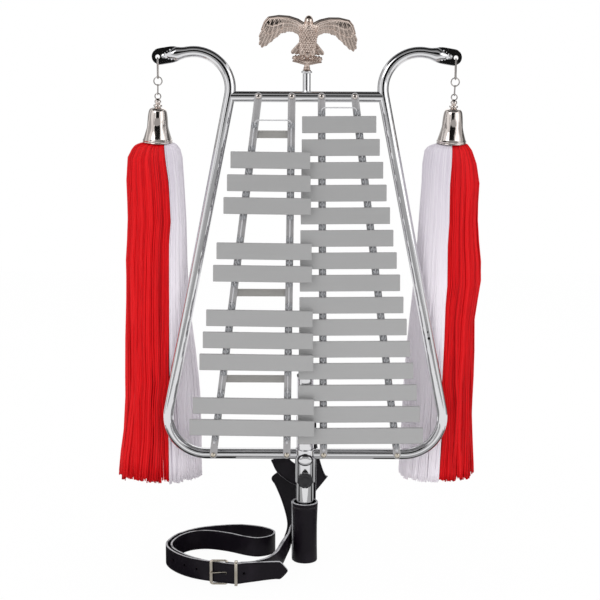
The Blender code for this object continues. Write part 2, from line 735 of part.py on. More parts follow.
def build_cup():
    """The stitched leather cup and the disc that closes its foot."""
    edge = 0.8
    wall = [(CUP_R - edge, 0), (CUP_R, edge), (CUP_R, CUP_TOP - edge), (CUP_R - edge, CUP_TOP)]
    wall += [(CUP_BORE + edge, CUP_TOP), (CUP_BORE, CUP_TOP - edge), (CUP_BORE, 0)]
    add_piece("leather_cup", lathe(wall, 24, joined=True), "black_leather")
    base = [(CUP_BORE - GAP, 0), (CUP_BORE - GAP, CUP_BASE)]
    add_piece("cup_base", lathe(base, 24), "black_leather")


def curve_through(stations, steps):
    """Catmull-Rom points through stations of equal length tuples."""
    rows = [Vector(s) for s in stations]
    rows = [rows[0] * 2 - rows[1]] + rows + [rows[-1] * 2 - rows[-2]]
    found = []
    for a, b, c, d in zip(rows, rows[1:], rows[2:], rows[3:]):
        for i in range(steps):
            t = i / steps
            found.append(
                0.5 * (2 * b + (c - a) * t + (2 * a - 5 * b + 4 * c - d) * t**2
                       + (3 * b - a - 3 * c + d) * t**3)
            )
    found.append(rows[-2])
    return found


def band(centres, halves):
    """Rings of a flat strap whose width runs along the half vectors at each centre."""
    rings = []
    for centre, half, heading in zip(centres, halves, directions(centres)):
        face = heading.cross(half).normalized() * STRAP_THICK / 2
        rings.append([centre + half + face, centre - half + face])
        rings[-1] += [centre - half - face, centre + half - face]
    return rings


# Height of a strap's middle where it stands on edge on the floor
LOW = STRAP_WIDTH / 2 + GAP

# The long strap's pointed end, which leans a little: centre x, y, z, half its width x, y, z
END_ROUTE = (
    (-38.6, -94.4, 17.6, 0, -4, 15.5), (-46, -94, 17.6, 0, -4, 15.5),
    (-60, -98.6, 18.2, 0, -3, 15.7), (-75, -105.2, 19.2, 0, -1.5, 15.9),
    (-92, -112.2, 20, 0, 0, 16),
)

# From there on edge through the buckle and twice round: x, y, z
LOOP_ROUTE = (
    (-104, -116.4, 20), (-119, -112.9, 20), (-141, -105.6, 20), (-158, -95.5, 18.5),
    (-176, -82, 17), (-195, -64, LOW), (-211.5, -41, LOW), (-219.5, -16, LOW), (-215, 11, LOW),
    (-202, 36, LOW), (-176, 60, LOW), (-145, 72, LOW), (-109, 78, LOW), (-74, 69, LOW),
    (-54, 53, LOW), (-49.5, 37, LOW), (-57, 21, LOW), (-75, 12, LOW), (-95, 18, LOW),
    (-125, 36, LOW), (-158, 47, LOW), (-183, 42, LOW), (-200, 25, LOW), (-209.5, 2, LOW),
    (-211.5, -18, LOW), (-205.5, -39, LOW), (-190, -60, LOW), (-171, -78.5, 16.6),
    (-155, -90.5, 17), (-140, -99, 17), (-128, -103, 17), (-117, -104.6, 17),
    (-104, -105, 17), (-95, -103.6, 17), (-83, -99.4, 17), (-72, -91.6, 16.6),
    (-59, -78.6, LOW), (-49, -61, LOW), (-43, -41, 16.6), (-38.5, -20, 18),
)

# Where it leaves the floor, folds behind the staff and runs down the cup's back:
# centre x, y, z and then half the width as a vector x, y, z
FOLD_ROUTE = (
    (-35, 0, 20, 2, 0, 15.9), (-29.5, 16, 26, 6, 0.5, 14.8), (-22, 29, 37, 11, 0, 11.6),
    (-14, 35, 55, 14.5, 0, 6.8), (-21, 43, 84, 15, 0, 5.6), (-33, 53, 111, 15, 0, 5.4),
    (-38.6, 56, 119, 15.2, 0, 5), (-39.8, 57.5, 124.8, 14.6, 0, 5.6),
    (-38.2, 58.4, 130, 12.2, 0, 6.4), (-35.6, 58.4, 136, 9.6, 0, 7.6),
    (-36.6, 57.2, 144, 10.4, 0, 7), (-40, 55, 150.4, 13, 0, 4.6),
    (-41, 52.4, 152.6, 14.2, 0, 4.2), (-39.2, 50, 149, 13.6, 0, 5),
    (-33, 48.2, 139.2, 11.6, 0, 9.6), (-18, 47.5, 128.5, 7, 0, 14.4),
    (2, 47, 119, 6.2, 0, 14.8), (16, 46.6, 113, 8.4, 0, 15.4),
    (22.8, 44.4, 110.5, 12.2, 0, 15.8), (23.6, 40.6, 111.5, 12.6, 0, 15.6),
    (19.6, 37.6, 118, 13.8, 0, 11), (14, 36.6, 133, 14.8, 0, 6.6),
    (8, 36.2, 154, 15, 0, 5.4), (3.4, 35.8, 182, 15.9, 0, 1.6), (1.8, 35, 208, 16, 0, 0),
    (1.8, 33, 222, 16, 0, 0), (1.8, 29, 227.5, 16, 0, 0), (1.8, 25, 222, 16, 0, 0),
    (2, 23.4, 208, 16, 0, 0), (2.2, 23.2, 150, 16, 0, 0), (1.6, 23.2, 95, 16, 0, 0),
    (0.6, 23.2, 50, 16, 0, 0), (0, 23.2, 12, 16, 0, 0),
)

# The short strap from the buckle's bar to where it is sewn on the cup's left side
SHORT_ROUTE = (
    (-115.6, -109.2, 20, 0, 0, 16), (-110, -110.6, 20, 0, 0, 16), (-104, -112.4, 20, 0, 0, 16),
    (-95, -108.4, 20, 0, 0, 16), (-83, -103.7, 19, 0, 0, 16), (-70, -95, 18, 0, 0, 16),
    (-56, -81, 17.5, 0, 0, 16), (-44.5, -60, 18, 0, 0, 16), (-37, -38, 21, -1, -2, 15.8),
    (-30.5, -18, 27, -1, -5, 15.2), (-25, -4, 33.5, -0.5, -5.5, 15),
    (-23, 6, 38, 0, -3, 15.7), (-18, 14.8, 41, 0, -1, 16),
)


def build_straps():
    """The long punched strap, the short buckle strap, and the hardware that joins them."""
    loop = [(*point, 0, 0, STRAP_WIDTH / 2) for point in LOOP_ROUTE]
    floor = curve_rows(list(END_ROUTE) + loop + list(FOLD_ROUTE[:1]), 2)
    rows = floor[:-1] + curve_rows(FOLD_ROUTE, 3)
    end, half = rows[0]
    point = []
    for reach, share in ((12.4, 0.04), (10, 0.36), (6.4, 0.66), (2.4, 0.91)):
        point.append((end + Vector((reach, -0.02 * reach, -0.04 * reach)), half * share))
    rows = point + rows
    strap = loft(band([r[0] for r in rows], [r[1] for r in rows]))
    strap = add_piece("long_strap", strap, "black_leather")
    combine(strap, add_helper("cut_strap_holes", strap_holes()))

    rows = curve_rows(SHORT_ROUTE, 2)
    short = loft(band([r[0] for r in rows], [r[1] for r in rows]))
    add_piece("buckle_strap", short, "black_leather")
    build_buckle()


def curve_rows(stations, steps):
    """Smooth rows of (centre, half width vector) through a strap's stations."""
    centres = curve_through([s[:3] for s in stations], steps)
    halves = curve_through([s[3:] for s in stations], steps)
    return list(zip(centres, halves))


def strap_holes():
    """Cutters for the punched holes left of the buckle and the slot for its prong."""
    holes = bmesh.new()
    for x, y, heading in ((-203.5, -53, -50), (-184.5, -74.5, -42), (-165, -91, -35)):
        spin = Matrix.Rotation(math.radians(heading), 4, "Z")
        place = Matrix.Translation((x, y, 18)) @ spin @ Matrix.Rotation(math.radians(90), 4, "X")
        lathe([(2.0, -3.2), (2.0, 3.2)], 8, place, bm=holes)
    block((-135.5, -117, 18.2), (-118.4, -101.8, 21.8), bm=holes)
    return holes


def rectangle_path(first, second, corner, place):
    """A closed rectangle with cut corners; place maps its two amounts to a point."""
    (a0, a1), (b0, b1) = first, second
    points = [(a0 + corner, b0), (a1 - corner, b0), (a1, b0 + corner), (a1, b1 - corner)]
    points += [(a1 - corner, b1), (a0 + corner, b1), (a0, b1 - corner), (a0, b0 + corner)]
    return [place(a, b) for a, b in points]


def build_buckle():
    """The buckle frame, its prong and the metal keeper."""
    frame = rectangle_path(BUCKLE_X, BUCKLE_Z, 3.0, lambda x, z: Vector((x, BUCKLE_Y, z)))
    buckle = tube(frame, BUCKLE_WIRE, 8, (0, 1, 0), True)
    add_piece("buckle_frame", buckle, "nickel")

    pivot = Vector((BUCKLE_X[1], BUCKLE_Y, 20))
    carrier = joint_point("buckle_prong_tilt", pivot)
    reach = BUCKLE_WIRE + GAP
    start = pivot + Vector((-reach, 0, 0))
    bend = Vector((-133, -110.9, 20))
    rest = Vector((BUCKLE_X[0], BUCKLE_Y - reach - 1.1, 20))
    beyond = rest + Vector((-2.2, -0.1, 0))
    prong = tube([start, bend, rest, beyond], [1.2, 1.15, 1.1, 0.8], 8, (0, 0, 1))
    add_piece("buckle_prong", prong, "nickel", pivot, carrier)

    rings = []
    inner = rectangle_path(KEEPER_Y, KEEPER_Z, 1.0, lambda y, z: Vector((KEEPER_X, y, z)))
    middle = sum(inner, Vector()) / len(inner)
    for point in inner:
        out = Vector((0, math.copysign(1, point.y - middle.y), math.copysign(1, point.z - middle.z)))
        thick = out * KEEPER_THICK / 2
        wide = Vector((KEEPER_WIDTH / 2, 0, 0))
        rings.append([point + thick + wide, point + thick - wide])
        rings[-1] += [point - thick - wide, point - thick + wide]
    add_piece("strap_keeper", loft(rings, joined=True), "nickel")


# Tassel levels: height, then distances from the middle plane of the inner side, of the line
# where the colours meet and of the outer side. The first four fill the bell.
LEFT_TASSEL = (
    (702, 218, 222, 237), (686, 217, 220, 239), (673, 214.9, 218, 241.9), (663, 213.2, 217, 244.2),
    (661.4, 205.5, 217, 253.5), (659.5, 199, 216.5, 263), (656, 195, 216, 269),
    (651, 191.6, 215.5, 273), (632, 189.5, 213.5, 279), (605, 188.3, 210, 281),
    (571, 187.3, 208.5, 280), (545, 186.4, 208.7, 279.8), (510, 186, 212, 281.5),
    (479, 185.4, 213.6, 284.5), (416, 184.4, 213.8, 285), (353, 178.5, 214.5, 287.5),
    (333, 176.5, 214.7, 288), (260, 171, 219, 291.5), (192, 168.5, 218.5, 300),
    (140, 168, 219, 305.5), (128, 172, 219, 301), (119, 186, 219, 288),
)
RIGHT_TASSEL = (
    (702, 214.5, 222, 233.5), (686, 212.5, 222, 234.5), (673, 209.6, 222, 236.6),
    (663, 207.3, 222, 238.3), (661.6, 202, 222, 245), (659.5, 189.5, 221.8, 250),
    (656, 183, 221.6, 255), (651, 179.8, 221.4, 259), (632, 178, 220.9, 265.5),
    (605, 177.7, 219.4, 270.5), (571, 176.6, 220.4, 269.2), (545, 175.8, 220.2, 269.8),
    (510, 174.4, 218.7, 273), (479, 173.4, 219.9, 277), (448, 171, 219.8, 277.8),
    (416, 169, 218.3, 273.8), (385, 167, 219.6, 270), (353, 164.5, 218, 270),
    (333, 163, 218, 270.4), (289, 160.8, 216.8, 270.8), (260, 159, 221.5, 271),
    (192, 156, 218, 273), (140, 153.6, 216.4, 275.2), (130, 158, 216.2, 271), (121, 170, 216, 259),
)


def build():
    """Every piece of the lyra, its carrying cup and its straps."""
    for leftover in list(bpy.data.objects):
        bpy.data.objects.remove(leftover)
    build_frame()
    build_sleeve()
    build_staff()
    build_clamp()
    build_rails()
    build_bars()
    build_cords()
    build_finial()
    build_tassel(-1, "left", LEFT_TASSEL)
    build_tassel(1, "right", RIGHT_TASSEL)
    build_cup()
    build_straps()


build()
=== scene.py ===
"""Looks of the marching bell lyra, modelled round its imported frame.

The lyra stands in its cup at the origin and its bars face -Y. The studio is in metres. The
pieces are drawn in mm and become metres when they are settled.
"""

import json
import math
import random

import bpy
from mathutils import Matrix, Vector


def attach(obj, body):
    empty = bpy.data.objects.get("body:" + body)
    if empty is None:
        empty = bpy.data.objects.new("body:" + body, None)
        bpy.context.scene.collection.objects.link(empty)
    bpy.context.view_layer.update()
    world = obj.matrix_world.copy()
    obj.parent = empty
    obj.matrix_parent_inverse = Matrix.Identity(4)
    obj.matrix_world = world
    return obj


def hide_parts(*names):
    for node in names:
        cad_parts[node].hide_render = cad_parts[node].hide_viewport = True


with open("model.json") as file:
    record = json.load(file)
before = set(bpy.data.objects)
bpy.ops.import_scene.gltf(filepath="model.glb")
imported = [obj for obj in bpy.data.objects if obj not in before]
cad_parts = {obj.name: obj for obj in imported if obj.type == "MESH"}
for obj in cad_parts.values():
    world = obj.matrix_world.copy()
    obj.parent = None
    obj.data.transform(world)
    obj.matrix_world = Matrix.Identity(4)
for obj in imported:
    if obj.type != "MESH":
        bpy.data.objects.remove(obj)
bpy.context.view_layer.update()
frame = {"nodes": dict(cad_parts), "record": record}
nodes = frame["nodes"]

MM = 0.001

# Camera: place in metres, angles in degrees, lens and sensor in mm
CAMERA_AT = (-0.009, -1.85, 0.680)
CAMERA_PITCH = 82.02
CAMERA_ROLL = 0.2
CAMERA_LENS = 72.0
SENSOR_WIDTH = 36.0

# Bent tube frame, in mm
TUBE_R = 8.6
TUBE_SIDES = 36
SIDE_LEAN = 0.2001
SIDE_X = 180.2
SIDE_Z = 420.0
BOTTOM_Z = 175.0
CORNER_CENTRE = (156.0, 235.0)
CORNER_R = 60.0
HORN_CENTRE = (171.0, 745.0)
HORN_R = 55.0
HORN_DROOP = 9.5
HORN_HOLE_AT = 46.3
HORN_HOLE_R = 3.5
TIP_FROM = 3.0
TIP_FLAT_FROM = 27.0
TIP_ROUND_FROM = 42.7
TIP_HALF = 12.5
TIP_THIN = 2.0
BULGE_END = 40.0
BULGE_LENGTH = 28.0
CROSSBAR_Z = 733.0
CROSSBAR_HALF = 115.0
SIDE_HOLES = ((362.0, 2.2), (372.0, 1.3))
TIP_STEPS = 20
TIP_STEP = 2.0
TIP_END_SHARES = (0.2, 0.4, 0.58, 0.72, 0.83, 0.91, 0.965, 0.99)
SPIN_STEPS = 24
TUBE_END_X = 8.0

# Staff, sleeve and clamp
STAFF_R = 13.5
STAFF_BORE = 12.0
STAFF_FOOT = 5.3
STAFF_TOP = 300.0
STAFF_LIP = 0.8
SLEEVE_R = 16.0
SLEEVE_BORE = 14.0
SLEEVE_FOOT = 129.5
SLEEVE_TOP = 183.5
CLAMP_Z = 138.5
CLAMP_HOLE_R = 3.3
KNOB_R = 12.0
KNOB_BACK = 18.3
KNOB_FRONT = 31.5
KNOB_FLUTES = 12
FLUTES_FROM_R = 8.4
FLUTE_DEPTH = 0.075
SCREW_FOOT = 13.8
THREADS = 10
BOSS_Z = 169.0
BOSS_HALF = (12.5, 9.3)

# Rails: centre distance from the middle plane at the crossbar and at the bottom tube
RAIL_INNER = (22.5, 29.0)
RAIL_OUTER = (73.0, 145.0)
RAIL_WIDTH = 11.5
RAIL_BACK = -8.4
RAIL_FRONT = -10.9
RAIL_EDGE = 0.35
SCREW_CROSS = (25, 115)

# Bars, cords and cord posts
BAR_TOP_Z = 691.0
BAR_PITCH = 34.45
NATURAL_Y = -18.0
ACCIDENTAL_Y = -30.0
ACCIDENTAL_DROP = 2.0
NATURALS = 15
CORD_R = 1.0
POST_FOOT_R = 5.2
POST_NECK_R = 3.6
POST_SLOT = 2.7
CORD_TAIL = 8.5
CORD_ARCH = 8.0
CORD_CORNER_R = 5
CORD_STEPS = 60
CORD_KNOT = ((0.0, 1.2), (0.6, 2.0), (1.4, 2.3), (3.0, 2.3), (3.8, 2.0), (4.4, 1.1), (5.0, 1.0))

# Rows of bars: side, name, depth of the cord, posts on a rail, how many pitches the first
# post stands above the top bar, and how far the whole row stands lower
BAR_ROWS = (
    (1, "natural", NATURAL_Y, NATURALS + 1, 0.5, 0.0),
    (-1, "accidental", ACCIDENTAL_Y, NATURALS, 0.0, ACCIDENTAL_DROP),
)

# Finial
POST_R = 6.0
POST_TOP = 768.0
COLLAR_R = 8.2
EAGLE_FOOT = 771.8
EAGLE_ROLL = 2.2
EAGLE_GRAIN = 0.52

# Heights in metres between which the matt casting turns into the polished head
HEAD_FROM = 0.8330
HEAD_TO = 0.8420

# Tassels
HOOK_TOP = 790.2
HOOK_BOTTOM = 759.4
HOOK_HALF = 4.6
HOOK_WIRE = 1.1
RING_R = 6.2
RING_WIRE = 0.9
LINK_HALF = 7.8
LINK_WIDE = 2.6
LINK_WIRE = 0.8
LINK_TOP = 2 * RING_R - RING_WIRE - 0.4
EYE_R = 4.4
EYE_TOP = LINK_TOP + 2 * LINK_HALF - LINK_WIRE - RING_WIRE - 0.3
TASSEL_LEAN = 6.3
BELL_SIDE_LEAN = 1.75
TASSEL_PIVOT_Z = 761.7
TASSEL_DEPTH = 0.7
TASSEL_ROUND_R = 20.0

# Yarn: count, radius and sides, then the locks that swell and swing together, and the core
YARNS = 1250
YARN_R = 0.95
YARN_SIDES = 4
LOCKS = 26
MOUTH_Z = 664
LOCK_SWELL = 2.2
LOCK_SWING = 3.2
LOCK_WAVE = 62
WHITE_CALM = 0.55
MEETING_LIMIT = 0.92
YARN_DEPTH = 9.0
CORE_DEPTH = 10.0
CORE_SIDES = 17
CORE_LIFT = 24

# The bell below its crown's stem: radius and distance below the tassel's pivot
BELL_PROFILE = (
    (2.6, 33.2), (4.2, 34.6), (5.0, 36.2), (5.1, 37.6), (4.6, 39.0), (3.2, 40.2), (3.0, 40.8),
    (4.6, 41.2), (6.2, 41.8), (6.7, 42.9), (6.5, 44.2), (5.2, 45.2), (4.4, 45.7), (5.0, 46.3),
    (8.6, 46.8), (11.2, 47.8), (12.8, 49.6), (13.7, 52.0), (14.5, 56.0), (15.1, 61.0), (15.7, 68.0),
    (16.6, 75.0), (18.0, 82.0), (19.9, 88.4), (21.2, 92.6), (22.0, 94.4), (22.5, 95.0), (22.9, 95.9),
    (22.5, 96.7), (22.2, 97.3), (22.7, 97.9), (22.9, 98.6), (22.5, 99.3), (21.5, 99.3), (20.5, 96.0),
    (19.1, 91.0), (17.2, 84.0), (15.4, 76.0), (13.9, 62.0), (12.1, 53.0), (4.0, 50.5), (1.0, 50.5),
)
CROWN = (41.0, 45.6)
CROWN_FROM_R = 4.0
CROWN_POINTS = 8
CROWN_NOTCH = 0.09


class Wire:
    """A node's output that takes part in sums; every sum adds its Math node."""

    def __init__(self, tree, socket):
        self.tree = tree
        self.socket = socket

    def maths(self, operation, first, second):
        return self.tree.node("ShaderNodeMath", {"operation": operation}, {0: first, 1: second})

    def __add__(self, other):
        return self.maths("ADD", self, other)

    __radd__ = __add__

    def __mul__(self, other):
        return self.maths("MULTIPLY", self, other)

    __rmul__ = __mul__

    def __sub__(self, other):
        return self.maths("SUBTRACT", self, other)

    def __rsub__(self, other):
        return self.maths("SUBTRACT", other, self)

    def __truediv__(self, other):
        return self.maths("DIVIDE", self, other)

    def __rtruediv__(self, other):
        return self.maths("DIVIDE", other, self)

    def __lt__(self, other):
        return self.maths("LESS_THAN", self, other)

    def __gt__(self, other):
        return self.maths("GREATER_THAN", self, other)


class Tree:
    """The nodes of a finish, or of the surroundings, under construction."""

    def __init__(self, tree):
        self.nodes = tree.nodes
        self.links = tree.links

    def feed(self, target, value):
        """Give a socket a value or a wire."""
        if isinstance(value, Wire):
            self.links.new(value.socket, target)
        else:
            target.default_value = value

    def node(self, kind, settings=None, inputs=None, output=0):
        """Add a node: its settings first, then the values or wires of its sockets."""
        made = self.nodes.new(kind)
        for name, value in (settings or {}).items():
            if name == "stops":
                self.ramp(made.color_ramp.elements, value)
            else:
                setattr(made, name, value)
        for name, value in (inputs or {}).items():
            self.feed(made.inputs[name], value)
        return Wire(self, made.outputs[output])

    def ramp(self, elements, stops):
        for element, (place, shade) in zip(elements, stops):
            element.position = place
            element.color = (shade, shade, shade, 1.0)

    def seen_by(self, *rays):
        """1 for rays of the named kinds and 0 for others."""
        seen, *others = [self.node("ShaderNodeLightPath", output=ray) for ray in rays]
        for other in others:
            seen = seen.maths("MAXIMUM", seen, other)
        return seen


class Look(Tree):
    """A material under construction, with a Principled shader at its end."""

    def __init__(self, name, colour, roughness, metallic=0.0, **fixed):
        self.material = bpy.data.materials.new(name)
        self.material.use_nodes = True
        super().__init__(self.material.node_tree)
        self.shader = self.nodes["Principled BSDF"]
        self.set("Base Color", (*colour, 1.0))
        self.set("Roughness", roughness)
        self.set("Metallic", metallic)
        for socket, value in fixed.items():
            self.set(socket.replace("_", " "), value)

    def set(self, socket, value):
        """Feed one of the shader's sockets."""
        self.feed(self.shader.inputs[socket], value)

    def place(self, stretch=(1, 1, 1)):
        """Object coordinates, stretched."""
        coordinates = self.node("ShaderNodeTexCoord", output="Object")
        return self.node("ShaderNodeMapping", None, {"Vector": coordinates, "Scale": stretch})

    def axis(self, name):
        """One of the object coordinates."""
        return self.node("ShaderNodeSeparateXYZ", None, {"Vector": self.place()}, name)

    def stored(self, name):
        """A number that is stored in the mesh."""
        return self.node("ShaderNodeAttribute", {"attribute_name": name}, output="Fac")

    def noise(self, scale, detail, stretch=(1, 1, 1), roughness=0.5):
        return self.node("ShaderNodeTexNoise", None, {
            "Vector": self.place(stretch), "Scale": scale, "Detail": detail,
            "Roughness": roughness,
        }, "Fac")

    def steps(self, value, *stops):
        """Map a value through two (place, result) pairs."""
        return self.node("ShaderNodeValToRGB", {"stops": stops}, {"Fac": value})

    def blend(self, share, *colours):
        """Mix two colours by a share from 0 to 1."""
        first, second = (c if isinstance(c, Wire) else (*c, 1.0) for c in colours)
        return self.node("ShaderNodeMix", {"data_type": "RGBA"}, {0: share, 6: first, 7: second}, 2)

    def bump(self, height, strength, distance=0.0002):
        self.set("Normal", self.node("ShaderNodeBump", None, {
            "Height": height, "Strength": strength, "Distance": distance,
        }))


CHROME_SHADES = ((0.66, 0.66, 0.68), (0.78, 0.78, 0.79))


def plain(name, colour, roughness, metallic, noise, shades=None, rough=None, bump=0.0, **fixed):
    """A material whose grain mixes two shades, varies the roughness and raises the surface."""
    look = Look(name, colour, roughness, metallic, **fixed)
    grain = look.noise(*noise)
    if shades:
        look.set("Base Color", look.blend(grain, *shades))
    if rough:
        look.set("Roughness", grain * rough[0] + rough[1])
    if bump:
        look.bump(grain, bump)
    return look.material


def chrome_plate():
    look = Look("chrome_plate", (0.72, 0.72, 0.74), 0.06, 1.0)
    haze = look.steps(look.noise(35, 4), (0.45, 0.0), (0.75, 1.0))
    look.set("Roughness", haze * 0.05 + 0.045)
    look.set("Base Color", look.blend(look.noise(9, 2), *CHROME_SHADES))
    return look.material


def sleeve_chrome():
    """The sleeve's chrome, with a painted dark reflection round the rim of the domed boss."""
    look = Look("sleeve_chrome", (0.72, 0.72, 0.74), 0.06, 1.0)
    across = look.axis("X") / (BOSS_HALF[0] * MM)
    up = (look.axis("Z") - BOSS_Z * MM) / (BOSS_HALF[1] * MM)
    front = look.axis("Y") < (-SLEEVE_R - 0.5) * MM
    # Painted reflection: a ring round the front of the boss's rim is painted near black, for the dark
    # studio that the dome reflects.
    rim = look.steps(across * across + up * up, (0.58, 0.0), (0.72, 1.0)) * front
    plate = look.blend(look.noise(9, 2), *CHROME_SHADES)
    look.set("Base Color", look.blend(rim, plate, (0.03, 0.03, 0.032)))
    look.set("Roughness", look.noise(35, 4) * 0.05 + 0.045)
    return look.material


def nickel_plate():
    look = Look("nickel_plate", (0.72, 0.68, 0.63), 0.08, 1.0)
    cloud = look.noise(45, 3)
    look.set("Roughness", look.steps(cloud, (0.3, 0.05), (0.75, 0.15)))
    look.set("Base Color", look.blend(cloud, (0.62, 0.56, 0.53), (0.80, 0.74, 0.70)))
    return look.material


def brassy_nickel():
    """Thin plating with the warm metal under it showing through."""
    look = Look("brassy_nickel", (0.72, 0.66, 0.56), 0.2, 1.0)
    cloud = look.noise(90, 4)
    look.set("Base Color", look.blend(cloud, (0.56, 0.48, 0.38), (0.84, 0.80, 0.72)))
    look.set("Roughness", cloud * 0.25 + 0.1)
    look.bump(look.noise(500, 2), 0.1)
    return look.material


def nickel_cast():
    """Grained casting, its hollows painted a darker brown as shade, polished on its head and its
    wings' edges, whose upper side is painted darker as a dark reflection.
    """
    look = Look("nickel_cast", (0.66, 0.62, 0.58), 0.3, 1.0)
    grain = look.noise(750, 3)
    cloud = look.noise(60, 3)
    polish_and_dark_reflection = look.stored("polish_and_dark_reflection")
    below_head = look.node("ShaderNodeMapRange", None, {
        "Value": look.axis("Z"), "From Min": HEAD_TO, "From Max": HEAD_FROM,
    })
    matt = below_head * (1.0 - polish_and_dark_reflection)
    look.set("Roughness", (cloud * 0.2 + grain * 0.12 + 0.22) * matt + 0.06)
    bright = look.blend(cloud, (0.64, 0.52, 0.45), (0.87, 0.75, 0.68))
    # Painted shade: the deeper a point lies in a hollow, the more it is painted a darker brown.
    depth = look.steps(look.stored("hollow") + grain * 0.2 - 0.1, (0.25, 1.0), (0.5, 0.0))
    dull = look.blend(depth, bright, (0.34, 0.25, 0.21))
    # Painted reflection: where the wings' arms are polished, their colour is painted darker for the
    # dark ceiling they reflect; the low roughness there is real polish.
    look.set("Base Color", look.blend(polish_and_dark_reflection, dull, (0.44, 0.38, 0.35)))
    look.bump(grain * matt, 0.25, 0.0003)
    return look.material


def bar_aluminium():
    look = Look("satin_bar", (0.5, 0.5, 0.49), 0.5, 0.5)
    grain = look.noise(240, 4, (0.06, 1, 3.0))
    shade = look.blend(look.noise(7, 2), (0.405, 0.405, 0.407), (0.46, 0.46, 0.462))
    look.set("Base Color", look.blend(grain * 0.35, shade, (0.54, 0.54, 0.543)))
    look.set("Roughness", grain * 0.16 + 0.42)
    look.bump(grain + look.noise(1400, 2) * 0.4, 0.08)
    return look.material


def cord_nylon():
    look = Look("cord_nylon", (0.62, 0.62, 0.64), 0.35, 0.0, Transmission_Weight=0.2)
    lay = look.node("ShaderNodeTexWave", {"bands_direction": "DIAGONAL"}, {
        "Vector": look.place(), "Scale": 420.0, "Distortion": 1.0,
    }, "Fac")
    look.set("Base Color", look.blend(lay, (0.45, 0.45, 0.47), (0.76, 0.76, 0.78)))
    look.bump(lay, 0.4, 0.0003)
    return look.material


def black_leather():
    look = Look("black_leather", (0.006, 0.005, 0.007), 0.4, Specular_IOR_Level=0.2)
    pores = look.node("ShaderNodeTexVoronoi", {"feature": "DISTANCE_TO_EDGE"}, {
        "Vector": look.place(), "Scale": 900.0,
    }, "Distance")
    creases = look.noise(160, 5, roughness=0.6)
    worn = look.steps(look.noise(28, 4), (0.5, 0.0), (0.85, 1.0))
    look.set("Base Color", look.blend(worn, (0.0062, 0.0042, 0.0076), (0.0158, 0.0120, 0.0190)))
    look.set("Roughness", worn * 0.12 + creases * 0.2 + 0.25)
    look.bump(look.steps(pores, (0.0, 0.0), (0.25, 1.0)) * 0.6 + creases, 0.22, 0.0004)
    return look.material


def cut_edge():
    """Raw grey leather fibre along a cut edge."""
    look = Look("leather_cut_edge", (0.3, 0.3, 0.31), 0.75, Specular_IOR_Level=0.3)
    fibre = look.noise(1300, 3)
    raw = look.steps(look.noise(60, 3), (0.3, 0.0), (0.5, 1.0))
    shade = look.blend(fibre, (0.26, 0.26, 0.28), (0.62, 0.62, 0.64))
    look.set("Base Color", look.blend(raw, (0.14, 0.14, 0.15), shade))
    look.bump(fibre, 0.4, 0.0004)
    return look.material


def yarn(name, dark, middle, bright, ends=None):
    """Dyed yarn in three shades, chosen by a stored number that is partly random and partly painted
    shade; where a fourth colour is given, the lower ends are painted paler as light.
    """
    look = Look(name, middle, 0.45, 0.0, Specular_IOR_Level=0.15)
    # The stored number, partly random and partly painted shade, picks the colour.
    share = look.stored("tone_and_depth_shade") + look.noise(260, 3, (1, 1, 0.02), 0.6) * 0.5 - 0.25
    shade = look.blend(look.steps(share, (0.15, 0.0), (0.55, 1.0)), dark, middle)
    shade = look.blend(look.steps(share, (0.5, 0.0), (0.95, 1.0)), shade, bright)
    # Painted light: below about 0.64 m the colour turns towards the fourth one, paler towards the
    # bottom, where less light falls.
    if ends:
        shade = look.blend(look.steps(look.axis("Z"), (0.44, 0.85), (0.64, 0.0)), shade, ends)
    look.set("Base Color", shade)
    look.set("Roughness", look.noise(60, 2, (1, 1, 0.12)) * 0.3 + 0.28)
    return look.material


CHROME = chrome_plate()
SLEEVE_CHROME = sleeve_chrome()
NICKEL = nickel_plate()
NICKEL_CAST = nickel_cast()
WIRE_METAL = plain("nickel_wire", (0.40, 0.38, 0.36), 0.16, 1.0, (160, 3),
                   ((0.26, 0.24, 0.23), (0.58, 0.55, 0.53)), (0.15, 0.1))
BAR = bar_aluminium()
STRIP = plain("drawn_strip", (0.42, 0.41, 0.41), 0.4, 0.35, (320, 4, (3.0, 1, 0.04)),
              ((0.33, 0.325, 0.33), (0.50, 0.49, 0.50)), (0.2, 0.26), 0.06)
STRUT = plain("dull_strut", (0.34, 0.33, 0.32), 0.45, 0.3, (260, 4, (0.05, 1, 3.0)),
              ((0.31, 0.30, 0.29), (0.45, 0.44, 0.42)), None, 0.06)
POST = plain("post_nylon", (0.36, 0.37, 0.39), 0.25, 0.0, (400, 3),
             ((0.26, 0.27, 0.29), (0.52, 0.53, 0.55)), (0.25, 0.15), Transmission_Weight=0.25)
CORD = cord_nylon()
MOULDING = plain("black_moulding", (0.016, 0.016, 0.019), 0.36, 0.0, (1800, 2), None,
                 (0.2, 0.28), 0.15, Specular_IOR_Level=0.35)
LEATHER = black_leather()
EDGE = cut_edge()
THREAD = plain("waxed_thread", (0.03, 0.028, 0.03), 0.45, 0.0, (1500, 2),
               ((0.012, 0.011, 0.013), (0.07, 0.066, 0.07)), None, 0.3)
BRASSY = brassy_nickel()
RED = yarn("red_yarn", (0.40, 0.0, 0.003), (0.72, 0.004, 0.008), (0.84, 0.012, 0.016))
# The white yarn's fourth colour is painted light, for its paler lower ends.
WHITE = yarn("white_yarn", (0.64, 0.59, 0.67), (0.71, 0.67, 0.74), (0.78, 0.74, 0.80),
             (0.95, 0.90, 0.96))

DRESS = {
    "chrome": CHROME,
    "nickel": NICKEL,
    "satin_aluminium": BAR,
    "rail_aluminium": STRIP,
    "nylon_cord": CORD,
    "black_plastic": MOULDING,
    "black_leather": LEATHER,
    "red_yarn": RED,
    "white_yarn": WHITE,
}


